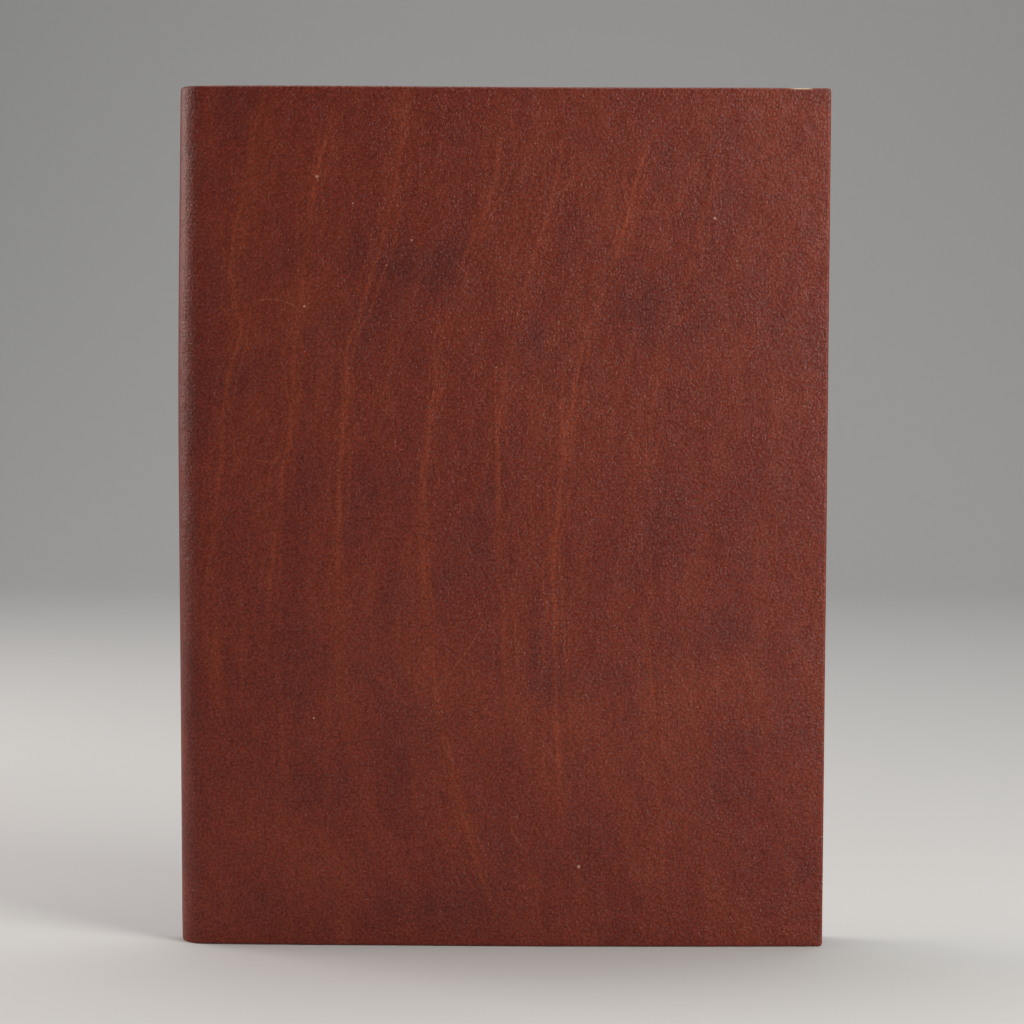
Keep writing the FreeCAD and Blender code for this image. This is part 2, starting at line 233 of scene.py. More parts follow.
def shell(name, mapping, sc, zr, m, open_start, top, rings, bottom, tag=None):
    """A closed sheet over a grid.  top and bottom give depth at (s, z).  rings
    is a list of (rho, depth function, path length, edge value)."""
    ns, nz = len(sc), len(zr)
    gs, gz = np.meshgrid(sc, zr, indexing="ij")
    V, U, E, F = [], [], [], []
    g = np.stack([gs, gz], -1).reshape(-1, 2)
    V.append(mapping(g[:, 0], g[:, 1], top(g[:, 0], g[:, 1])))
    U.append(g)
    E.append(np.zeros(len(g)))

    def gi(i, j, base=0):
        return base + i * nz + j
    for i in range(ns - 1):
        for j in range(nz - 1):
            F.append((gi(i, j), gi(i + 1, j), gi(i + 1, j + 1), gi(i, j + 1)))
    entries = loop_entries(sc, zr, m, open_start)
    cs, cz, us, uz = entries.T
    n = len(entries)
    smid = 0.0 if open_start else (sc[0] + sc[-1]) / 2
    hs = sc[-1] - smid
    zmid, hz = (zr[0] + zr[-1]) / 2, (zr[-1] - zr[0]) / 2
    base = len(g)
    starts = []
    for rho, depth, path, edge in rings:
        r = rho(cs) if callable(rho) else np.full(n, float(rho))
        pos = np.clip(r, 0, None)
        neg = np.clip(r, None, 0)
        s = smid + (cs - smid) * (hs + neg) / hs + pos * us
        z = zmid + (cz - zmid) * (hz + neg) / hz + pos * uz
        d = depth(s, z, cs, cz)
        V.append(mapping(s, z, d))
        U.append(np.stack([cs + path * us, cz + path * uz], -1))
        E.append(np.full(n, edge))
        starts.append(base)
        base += n
    closed = n if not open_start else n - 1
    prev = starts[0]
    # the first ring lies on the grid's border and merges with it
    for k in range(len(starts) - 1):
        a, b = starts[k], starts[k + 1]
        for q in range(closed):
            q2 = (q + 1) % n
            F.append((a + q, b + q, b + q2, a + q2))
    if bottom is not None:
        V.append(mapping(g[:, 0], g[:, 1], bottom(g[:, 0], g[:, 1])))
        U.append(g + 400.0)
        E.append(np.zeros(len(g)))
        for i in range(ns - 1):
            for j in range(nz - 1):
                F.append((gi(i, j, base), gi(i, j + 1, base), gi(i + 1, j + 1, base), gi(i + 1, j, base)))
    return new_mesh(name, np.concatenate(V), F, np.concatenate(U), {"edge": np.concatenate(E)})


def spread(a, b, fine, coarse, reach=4.0, fine_a=True, fine_b=True):
    """Positions from a to b, close together near the ends."""
    out = [a]
    x = a
    while x < b - 1e-9:
        da = x - a if fine_a else 1e9
        db = b - x if fine_b else 1e9
        near = min(da, db)
        step = fine + (coarse - fine) * min(1.0, max(0.0, near - 1.0) / reach)
        x = x + step
        out.append(x)
    out = np.array(out)
    return a + (out - a) * (b - a) / (out[-1] - a)


# ------------------------------------------------------------ outer leather
RC = 0.85


def skin(name, side):
    first = np.array([0, 0.06, 0.2, 0.5])
    arc = np.arange(1.0, ARC + 4.0, 0.55)
    rest = spread(arc[-1] + 0.6, S - RC, 0.3, 1.6, 7.0, True, True)
    sc = np.concatenate([first, arc, rest])
    zr = spread(RC, H - RC, 0.3, 1.7, 7.0)

    def r1(s):
        return 0.26 * thickness(s)

    def r2(s):
        return 0.22 * thickness(s)
    rings = [(0.0, lambda s, z, a, b: np.zeros_like(s), 0.0, 0.0)]
    path = 0.0
    # flat, then the turned edge, then the inside
    path = RC - 0.75
    for k in range(0, 9):
        th = math.pi / 2 * k / 8
        rings.append((lambda c, th=th: RC - r1(c) + r1(c) * math.sin(th),
                      lambda s, z, a, b, th=th: r1(a) * (1 - math.cos(th)),
                      path + 0.75 * th, 0.2 + 0.8 * math.sin(th)))
    path += 0.75 * math.pi / 2
    for k in range(0, 7):
        th = math.pi / 2 * k / 6
        rings.append((lambda c, th=th: RC - r2(c) + r2(c) * math.cos(th),
                      lambda s, z, a, b, th=th: thickness(a) - r2(a) + r2(a) * math.sin(th),
                      path + 1.5 + 0.64 * th, 1.0 - 0.7 * math.sin(th)))
    path += 1.5 + 0.64 * math.pi / 2

    def inside(s, z, a, b):
        # the mitre at each corner is a fine sunk line
        corner = np.minimum(np.hypot(a - (S - RC), b - RC), np.hypot(a - (S - RC), b - (H - RC)))
        return thickness(s) - 0.16 * np.exp(-(corner / 0.45) ** 2)
    for inset in (1.2, 1.7, 2.3, 2.9, 3.8, 5.0, 6.5, 8.2, 10.0, 11.6, TURN - 0.3):
        rings.append((RC - inset, inside, path + inset - 1.0, 0.1))
    last = path + TURN
    rings.append((RC - TURN, lambda s, z, a, b: thickness(s) - 0.15, last, 0.0))
    rings.append((RC - TURN, lambda s, z, a, b: thickness(s) - 0.45, last + 0.4, 0.0))
    rings.append((RC - 8.0, lambda s, z, a, b: thickness(s) - 0.5, last + 5, 0.0))
    rings.append((RC - 1.3, lambda s, z, a, b: thickness(a) - 0.5, last + 11, 0.0))
    rings.append((RC - 1.3, lambda s, z, a, b: 1.2 + 0 * s, last + 12.5, 0.0))
    rings.append((0.0, lambda s, z, a, b: 1.2 + 0 * s, last + 14, 0.0))
    ob = shell(name, lambda s, z, d: place(side, s, z, d), sc, zr, 7, True,
               lambda s, z: 0 * s, rings, lambda s, z: 1.2 + 0 * s)
    outward(ob, cap=True)
    return ob


def bend(ob, side):
    """Bakes the piece's placement into its mesh."""
    if side < 0:
        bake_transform(ob)
    else:
        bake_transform(ob)
    return ob


SKIN = {side: skin(name, side) for side, name in ((-1, "front_skin"), (1, "back_skin"))}


# ------------------------------------------------- boards, stiffener, linings
def sheet_in(name, side, s0, s1, z0, z1, rc, top, thick, edge_r, fine=0.4, coarse=3.0, open_start=False,
             reach=4.0, m=5, first=None):
    """A closed sheet lying at depth top(s, z), seen from the inside."""
    if open_start:
        sc = np.concatenate([first, spread(first[-1] + 0.5, s1 - rc, fine, coarse, reach, False, True)])
    else:
        sc = spread(s0 + rc, s1 - rc, fine, coarse, reach)
    zr = spread(z0 + rc, z1 - rc, fine, coarse, reach)
    rings = [(0.0, lambda s, z, a, b: top(s, z), 0.0, 0.0)]
    for k in range(0, 5):
        th = math.pi / 2 * k / 4
        rings.append((rc - edge_r + edge_r * math.sin(th),
                      lambda s, z, a, b, th=th: top(s, z) - edge_r * (1 - math.cos(th)),
                      rc - edge_r + edge_r * th, 0.3 + 0.7 * math.sin(th)))
    rings.append((rc, lambda s, z, a, b: top(s, z) - thick, rc + thick, 0.5))
    rings.append((0.0, lambda s, z, a, b: top(s, z) - thick, rc * 2 + thick, 0.0))
    ob = shell(name, lambda s, z, d: place(side, s, z, d), sc, zr, m, open_start,
               top, rings, lambda s, z: top(s, z) - thick)
    outward(ob, cap=open_start)
    return ob


def board_depth(s, z):
    return 2.4 + 0 * s


INNER = {}
for side, pre in ((-1, "front"), (1, "back")):
    board = sheet_in(pre + "_board_core", side, ARC + 0.6, S - 1.35, 1.35, H - 1.35, 1.4,
                     lambda s, z: 2.35 + 0 * s, 1.1, 0.2, fine=1.0, coarse=8.0)
    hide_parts(pre + "_board")
    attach(board, pre)
    INNER[pre + "_board"] = board

first = np.array([0, 0.06, 0.3, 0.8])
first_arc = np.concatenate([first, np.arange(1.4, ARC + 4.0, 0.6)])


def lining_depth(s, z):
    """The lining laps the turned-in leather and drops to the board inside it."""
    inset = np.minimum(np.minimum(z, H - z), S - s)
    return thickness(s) + 0.28 - 0.40 * smooth(12.4, 14.2, inset)


for side, pre in ((-1, "front"), (1, "back")):
    lin = sheet_in(pre + "_lining_cloth", side, 0, S - 10.4, 10.4, H - 10.4, 0.8, lining_depth, 0.30, 0.14,
                   fine=0.35, coarse=2.6, open_start=True, reach=8.0, first=first_arc, m=3)
    INNER[pre + "_lining"] = lin
    stiff = sheet_in(pre + "_spine_stiffener", side, 0, ARC - 0.3, 1.4, H - 1.4, 0.6,
                     lambda s, z: 1.66 + 0 * s, 0.4, 0.1, fine=0.5, coarse=6.0, open_start=True,
                     first=np.array([0, 0.06, 0.4, 1.2, 2.4, 3.6, 4.8, 6.0]), m=3)
    INNER[pre + "_stiff"] = stiff

# --------------------------------------------------------------- the pockets
P_IN = 1.5
P_W = 78.0
PS1 = S - P_IN
PS0 = PS1 - P_W


def pocket_border(s, z):
    """Distance in from the pocket's head, tail and fore-edge."""
    return np.minimum(np.minimum(z - P_IN, H - P_IN - z), PS1 - s)


def pocket_depth(s, z):
    b = pocket_border(s, z)
    d = T_PANEL + 0.72 + 0.36 * smooth(2.8, 5.2, b)
    d = d - 0.13 * np.exp(-((b - 2.0) / 0.42) ** 2)          # pulled down by the stitches
    d = d - 0.07 * np.exp(-((b - 0.85) / 0.16) ** 2)         # creased line by the edge
    mouth = s - PS0
    d = d - 0.06 * np.exp(-((mouth - 1.6) / 0.2) ** 2)
    return d + 0.10 * smooth(0, 20, mouth) * np.sin((z - 10) / (H - 20) * math.pi) * smooth(3, 20, b)


def mouth_line(z):
    """The pocket's mouth dips in a shallow curve in the middle."""
    t = (z - H / 2) / (H / 2)
    return 5.5 * np.exp(-(t / 0.34) ** 2)


def pocket(name, side):
    sc = spread(PS0 + 1.8, PS1 - 1.8, 0.22, 3.0, 7.0)
    zr = spread(P_IN + 1.8, H - P_IN - 1.8, 0.22, 3.0, 7.0)
    rc, edge_r, thick = 1.8, 0.26, 0.58

    def mapping(s, z, d):
        # pull the mouth back along its curve
        t = np.clip((PS1 - s) / (PS1 - PS0), 0, 1)
        s2 = s + mouth_line(z) * t ** 3
        return place(side, s2, z, d)
    rings = [(0.0, lambda s, z, a, b: pocket_depth(s, z), 0.0, 0.0)]
    for k in (0.5, 1.0, 1.3):
        rings.append((k, lambda s, z, a, b: pocket_depth(s, z), k, 0.1))
    for k in range(0, 5):
        th = math.pi / 2 * k / 4
        rings.append((rc - edge_r + edge_r * math.sin(th),
                      lambda s, z, a, b, th=th: pocket_depth(s, z) - edge_r * (1 - math.cos(th)),
                      rc - edge_r + edge_r * th, 0.4 + 0.6 * math.sin(th)))
    rings.append((rc, lambda s, z, a, b: pocket_depth(s, z) - thick + 0.1, rc + 0.4, 0.8))
    rings.append((rc - 0.1, lambda s, z, a, b: pocket_depth(s, z) - thick, rc + 0.5, 0.3))
    rings.append((0.0, lambda s, z, a, b: pocket_depth(s, z) - thick, rc * 2, 0.0))
    ob = shell(name, mapping, sc, zr, 6, False, pocket_depth, rings,
               lambda s, z: pocket_depth(s, z) - thick)
    outward(ob)
    return ob


POCKET = {side: pocket(name, side) for side, name in ((-1, "front_sleeve"), (1, "back_sleeve"))}

cp_lo, cp_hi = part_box("card_pocket")
CS0, CS1 = ARC + cp_lo.x * 1e3 - XS, ARC + cp_hi.x * 1e3 - XS
CZ0, CZ1 = cp_lo.z * 1e3, cp_hi.z * 1e3


def card_depth(s, z):
    b = np.minimum(np.minimum(z - CZ0, CZ1 - z), CS1 - s)
    d = pocket_depth(s, z) + 0.42 + 0.16 * smooth(2.6, 5.0, b)
    d = d - 0.12 * np.exp(-((b - 2.0) / 0.42) ** 2) - 0.06 * np.exp(-((b - 0.85) / 0.16) ** 2)
    return d


def card_pocket():
    sc = spread(CS0 + 1.8, CS1 - 1.8, 0.22, 2.2, 6.0)
    zr = spread(CZ0 + 1.8, CZ1 - 1.8, 0.22, 2.2, 6.0)
    rc, edge_r, thick = 1.8, 0.2, 0.45
    cz = (CZ0 + CZ1) / 2

    def mapping(s, z, d):
        t = np.clip((CS1 - s) / (CS1 - CS0), 0, 1)
        w = np.clip(1 - np.abs(z - cz) / 11.0, 0, 1)
        notch = 6.5 * (w * w * (3 - 2 * w))
        return place(-1, s + notch * t ** 6, z, d)
    rings = [(0.0, lambda s, z, a, b: card_depth(s, z), 0.0, 0.0)]
    for k in (0.5, 1.0, 1.3):
        rings.append((k, lambda s, z, a, b: card_depth(s, z), k, 0.1))
    for k in range(0, 5):
        th = math.pi / 2 * k / 4
        rings.append((rc - edge_r + edge_r * math.sin(th),
                      lambda s, z, a, b, th=th: card_depth(s, z) - edge_r * (1 - math.cos(th)),
                      rc - edge_r + edge_r * th, 0.4 + 0.6 * math.sin(th)))
    rings.append((rc, lambda s, z, a, b: card_depth(s, z) - thick, rc + 0.4, 0.8))
    rings.append((0.0, lambda s, z, a, b: card_depth(s, z) - thick, rc * 2, 0.0))
    ob = shell("card_slot", mapping, sc, zr, 6, False, card_depth, rings,
               lambda s, z: card_depth(s, z) - thick)
    return outward(ob)


CARD = card_pocket()


# ----------------------------------------------------------------- stitching
def stitch_run(name, side, path, depth, shift, pitch=4.0, length=3.3, radius=0.30):
    """Saddle stitches along a path of (s, z) points; each dips into the leather
    at both ends."""
    V, F, U = [], [], []
    base = 0
    rings, seg = 11, 8
    n = 0
    for (sa, za), (sb, zb) in zip(path[:-1], path[1:]):
        ln = math.hypot(sb - sa, zb - za)
        count = max(1, int(round(ln / pitch)))
        us, uz = (sb - sa) / ln, (zb - za) / ln
        for i in range(count):
            c = (i + 0.5) * ln / count
            n += 1
            slant = math.radians(7 + 2.0 * math.sin(n * 2.3))
            a, b = us * math.cos(slant) - uz * math.sin(slant), us * math.sin(slant) + uz * math.cos(slant)
            vs, vz = -b, a
            cs, cz = sa + us * c, za + uz * c
            L = length * (1 + 0.04 * math.sin(n * 1.7))
            for k in range(rings):
                t = -1 + 2 * k / (rings - 1)
                rr = radius * (0.35 + 0.65 * math.sqrt(max(0, 1 - abs(t) ** 3.5)))
                rise = 0.20 * (1 - t ** 4) - 0.16 - 0.28 * abs(t) ** 6
                for q in range(seg):
                    th = 2 * math.pi * q / seg
                    off = rr * math.cos(th)
                    up = 0.82 * rr * math.sin(th)
                    s = cs + a * t * L / 2 + vs * off
                    z = cz + b * t * L / 2 + vz * off
                    V.append((s, z, rise + up, cs, cz))
                    U.append((n * 5 + t * L / 2, q * 0.25))
            for k in range(rings - 1):
                for q in range(seg):
                    q2 = (q + 1) % seg
                    F.append((base + k * seg + q, base + k * seg + q2,
                              base + (k + 1) * seg + q2, base + (k + 1) * seg + q))
            F.append(tuple(base + q for q in range(seg))[::-1])
            F.append(tuple(base + (rings - 1) * seg + q for q in range(seg)))
            base += rings * seg
    V = np.array(V)
    d = depth(V[:, 3], V[:, 4]) + V[:, 2] + 0.16
    s = V[:, 0] + shift(V[:, 0], V[:, 1])
    ob = new_mesh(name, place(side, s, V[:, 1], d), F, U, merge=0)
    bm = bmesh.new()
    bm.from_mesh(ob.data)
    bmesh.ops.recalc_face_normals(bm, faces=bm.faces)
    bm.to_mesh(ob.data)
    bm.free()
    return ob


def sleeve_shift(s, z):
    t = np.clip((PS1 - s) / (PS1 - PS0), 0, 1)
    return mouth_line(z) * t ** 3


q = 2.0
sleeve_path = [(PS0 + 1.6, P_IN + q), (PS1 - q - 0.7, P_IN + q), (PS1 - q, P_IN + q + 0.7),
               (PS1 - q, H - P_IN - q - 0.7), (PS1 - q - 0.7, H - P_IN - q), (PS0 + 1.6, H - P_IN - q)]
sleeve_runs = [sleeve_path[0:2], sleeve_path[2:4], sleeve_path[4:6]]
THREAD = {}
for side, name in ((-1, "front_sleeve_stitches"), (1, "back_sleeve_stitches")):
    made = [stitch_run(name + str(k), side, r, pocket_depth, sleeve_shift) for k, r in enumerate(sleeve_runs)]
    bpy.context.view_layer.update()
    bm = bmesh.new()
    for o in made:
        bm.from_mesh(o.data)
    me = made[0].data
    bm.to_mesh(me)
    bm.free()
    for o in made[1:]:
        bpy.data.objects.remove(o)
    made[0].name = name
    me.polygons.foreach_set("use_smooth", [True] * len(me.polygons))
    THREAD[side] = made[0]

card_runs = [[(CS0 + 1.6, CZ0 + q), (CS1 - q - 0.7, CZ0 + q)], [(CS1 - q, CZ0 + q + 0.7), (CS1 - q, CZ1 - q - 0.7)],
             [(CS1 - q - 0.7, CZ1 - q), (CS0 + 1.6, CZ1 - q)]]
made = [stitch_run("card_slot_stitches" + str(k), -1, r, card_depth, lambda s, z: 0 * s) for k, r in enumerate(card_runs)]
bm = bmesh.new()
for o in made:
    bm.from_mesh(o.data)
bm.to_mesh(made[0].data)
bm.free()
for o in made[1:]:
    bpy.data.objects.remove(o)
made[0].name = "card_slot_stitches"
made[0].data.polygons.foreach_set("use_smooth", [True] * len(made[0].data.polygons))
CARD_THREAD = made[0]


# --------------------------------------------------------- cards and the pages
def bow_at(side, x):
    t = np.clip((np.asarray(x, float) - XS) / (X1 - XS), 0, 1)
    return BOW[side] * 4 * t * (1 - t)


def ribbon(name, pts, thick, z0, z1, nz=14, uv0=0.0, sharp=True, grow=1.0):
    """A card that follows a line in plan, from z0 to z1."""
    pts = np.asarray(pts, float)
    tan = np.gradient(pts, axis=0)
    tan /= np.linalg.norm(tan, axis=1)[:, None]
    nrm = np.stack([-tan[:, 1], tan[:, 0]], -1)
    n = len(pts)
    run = np.concatenate([[0], np.cumsum(np.linalg.norm(np.diff(pts, axis=0), axis=1))]) * grow + uv0
    zs = np.linspace(z0, z1, nz)
    V, U, F = [], [], []
    for side in (-1, 1):
        for i in range(n):
            p = pts[i] + nrm[i] * thick / 2 * side
            for z in zs:
                V.append((p[0], p[1], z))
                U.append((run[i], z + (0 if side < 0 else 300)))
    o = n * nz
    for i in range(n - 1):
        for j in range(nz - 1):
            a, b, c, d = i * nz + j, (i + 1) * nz + j, (i + 1) * nz + j + 1, i * nz + j + 1
            F.append((a, b, c, d))
            F.append((o + a, o + d, o + c, o + b))
    for i in range(n - 1):
        F.append((i * nz, o + i * nz, o + (i + 1) * nz, (i + 1) * nz))
        e = nz - 1
        F.append((i * nz + e, (i + 1) * nz + e, o + (i + 1) * nz + e, o + i * nz + e))
    for j in range(nz - 1):
        F.append((j, j + 1, o + j + 1, o + j))
        b = (n - 1) * nz
        F.append((b + j, o + b + j, o + b + j + 1, b + j + 1))
    ob = new_mesh(name, V, F, U, merge=0)
    outward(ob)
    if sharp:
        ob.data.set_sharp_from_angle(angle=math.radians(35))
    return ob


CORNER_X = PX0 - 0.47
Q = (XS - 1.35, PY0 - 1.20)      # where the front card starts to follow the front panel


def bezier(p0, p1, p2, p3, n):
    t = np.linspace(0, 1, n)[:, None]
    p0, p1, p2, p3 = (np.array(p, float) for p in (p0, p1, p2, p3))
    return (1 - t) ** 3 * p0 + 3 * (1 - t) ** 2 * t * p1 + 3 * (1 - t) * t ** 2 * p2 + t ** 3 * p3


def front_card_y(x):
    return -(R + bow_at(-1, x) - T_PANEL - 0.24)


def back_card_y(x):
    return R + bow_at(1, x) - T_PANEL - 0.24


# notebook's front card, from the fold to the fore-edge inside the pocket
lead = bezier(Q, (Q[0] + 0.02, Q[1] - 0.55), (Q[0] + 1.9, front_card_y(Q[0] + 5)), (Q[0] + 6.0, front_card_y(Q[0] + 6.0)), 26)
xs = np.linspace(Q[0] + 6.0, PX1 - 0.4, 60)[1:]
front_card = ribbon("notebook_front_card", np.concatenate([lead, np.stack([xs, front_card_y(xs)], -1)]), 0.33, PZ0, PZ1)
fold = ribbon("notebook_fold", bezier((CORNER_X, PY0 + 0.1), (CORNER_X, PY0 - 0.45), (Q[0] - 0.02, Q[1] + 0.75), Q, 26),
              0.33, PZ0, PZ1, uv0=-16.0, grow=5.5)
ys = np.linspace(PY0 + 0.1, back_card_y(PX0) - 0.7, 12)
strip = np.stack([np.full(12, CORNER_X), ys], -1)
turn = bezier(strip[-1], (CORNER_X, back_card_y(PX0) - 0.15), (CORNER_X + 0.3, back_card_y(PX0)), (CORNER_X + 1.2, back_card_y(PX0)), 8)[1:]
xs = np.linspace(CORNER_X + 1.2, PX1 - 0.2, 50)[1:]
back_card = ribbon("notebook_back_card", np.concatenate([strip, turn, np.stack([xs, back_card_y(xs)], -1)]), 0.33, PZ0, PZ1)


# leaves, eight to a section, folded at the bound edge
LEAVES = 8


def block_face(side, x, z):
    """Front or back face of the whole block: it opens a little away from the
    bound edge, more at the fore-edge corners."""
    grow = smooth(0.0, 34.0, x - PX0)
    lift = 0.16 * smooth(40.0, 148.0, x - PX0) * smooth(40.0, 110.0, np.abs(z - H / 2))
    if side < 0:
        return PY0 - grow * (0.12 + 0.93 * bow_at(-1, x)) - lift
    return PY1 + grow * (0.18 + 0.90 * bow_at(1, x))


def section(index):
    V, U, F = [], [], []
    base = 0
    xs = np.concatenate([[0.0, 0.12, 0.3, 0.6, 1.0, 1.8, 3.2, 5.5], np.linspace(9, PX1 - PX0, 22)])
    zs = np.linspace(PZ0, PZ1, 16)
    gx, gz = np.meshgrid(xs, zs, indexing="ij")
    for leaf in range(LEAVES):
        k = index * LEAVES + leaf
        total = 6 * LEAVES
        frac = (k + 0.5) / total
        # gather into the section's fold at the bound edge
        mid = (index + 0.5) / 6
        inside = mid + (frac - mid) * 0.90
        x = PX0 + gx
        f = block_face(-1, x, gz)
        b = block_face(1, x, gz)
        pos = frac + (inside - frac) * (1 - smooth(0, 6, gx))
        round_ = abs((leaf + 0.5) / LEAVES - 0.5) * 2
        y = f + (b - f) * pos
        wave = 0.035 * np.sin(gx * 0.05 + gz * 0.031 + k * 0.9) + 0.03 * np.sin(gz * 0.06 + k * 2.1)
        y = y + wave * smooth(4, 60, gx)
        ycentre = f + (b - f) * mid
        pull = np.exp(-(gx / 0.35) ** 2) * 0.65
        y = y + (ycentre - y) * pull * round_
        x = x + 0.35 * round_ ** 2 * np.exp(-(gx / 0.5) ** 2)
        x = x - (0.10 * math.sin(k * 3.7) + 0.06 * math.sin(k * 1.3) + 0.10) * smooth(60, 148, gx)
        z = gz + 0.06 * math.sin(k * 2.9) * smooth(0, 148, gx)
        th = 0.045
        n, nz = len(xs), len(zs)
        for sgn in (-1, 1):
            P = np.stack([x, y + sgn * th, z], -1).reshape(-1, 3)
            V.append(P)
            U.append(np.stack([gx, gz + (0 if sgn < 0 else 0)], -1).reshape(-1, 2))
        o = n * nz
        a = (np.arange(n - 1)[:, None] * nz + np.arange(nz - 1)[None, :]).ravel() + base
        for v in a:
            F.append((v, v + nz, v + nz + 1, v + 1))
            F.append((v + o, v + o + 1, v + o + nz + 1, v + o + nz))
        for i in range(n - 1):
            v = base + i * nz
            F.append((v, v + o, v + o + nz, v + nz))
            e = nz - 1
            F.append((v + e, v + nz + e, v + o + nz + e, v + o + e))
        for j in range(nz - 1):
            v = base + j
            F.append((v, v + 1, v + o + 1, v + o))
            v = base + (n - 1) * nz + j
            F.append((v, v + o, v + o + 1, v + 1))
        base += 2 * o
    ob = new_mesh("leaves_%d" % (index + 1), np.concatenate(V), F, np.concatenate(U), merge=0)
    bm = bmesh.new()
    bm.from_mesh(ob.data)
    bmesh.ops.recalc_face_normals(bm, faces=bm.faces)
    bm.to_mesh(ob.data)
    bm.free()
    ob.data.set_sharp_from_angle(angle=math.radians(50))
    return ob


SECTIONS = [section(i) for i in range(6)]


def binding():
    V, F, U = [], [], []
    base = 0
    for station in (0.08, 0.3, 0.42, 0.58, 0.7, 0.92):
        zc = PZ0 + (PZ1 - PZ0) * station
        for i in range(6):
            yc = PY0 + (PY1 - PY0) * (i + 0.5) / 6
            for k in range(13):
                t = -1 + k / 6
                r = 0.12 * math.sqrt(max(0.05, 1 - abs(t) ** 5))
                cx = PX0 - 0.13 + 0.10 * abs(t) ** 6
                for q in range(6):
                    a = 2 * math.pi * q / 6
                    V.append((cx + r * math.cos(a), yc + r * math.sin(a), zc + 4.5 * t))
                    U.append((4.5 * t, q * 0.12))
            for k in range(12):
                for q in range(6):
                    q2 = (q + 1) % 6
                    F.append((base + k * 6 + q, base + k * 6 + q2, base + k * 6 + 6 + q2, base + k * 6 + 6 + q))
            F.append(tuple(base + q for q in range(6)))
            F.append(tuple(base + 72 + q for q in range(6)))
            base += 78
    ob = new_mesh("sewing_thread", V, F, U, merge=0)
    bm = bmesh.new()
    bm.from_mesh(ob.data)
    bmesh.ops.recalc_face_normals(bm, faces=bm.faces)
    bm.to_mesh(ob.data)
    bm.free()
    return ob


SEWING = binding()


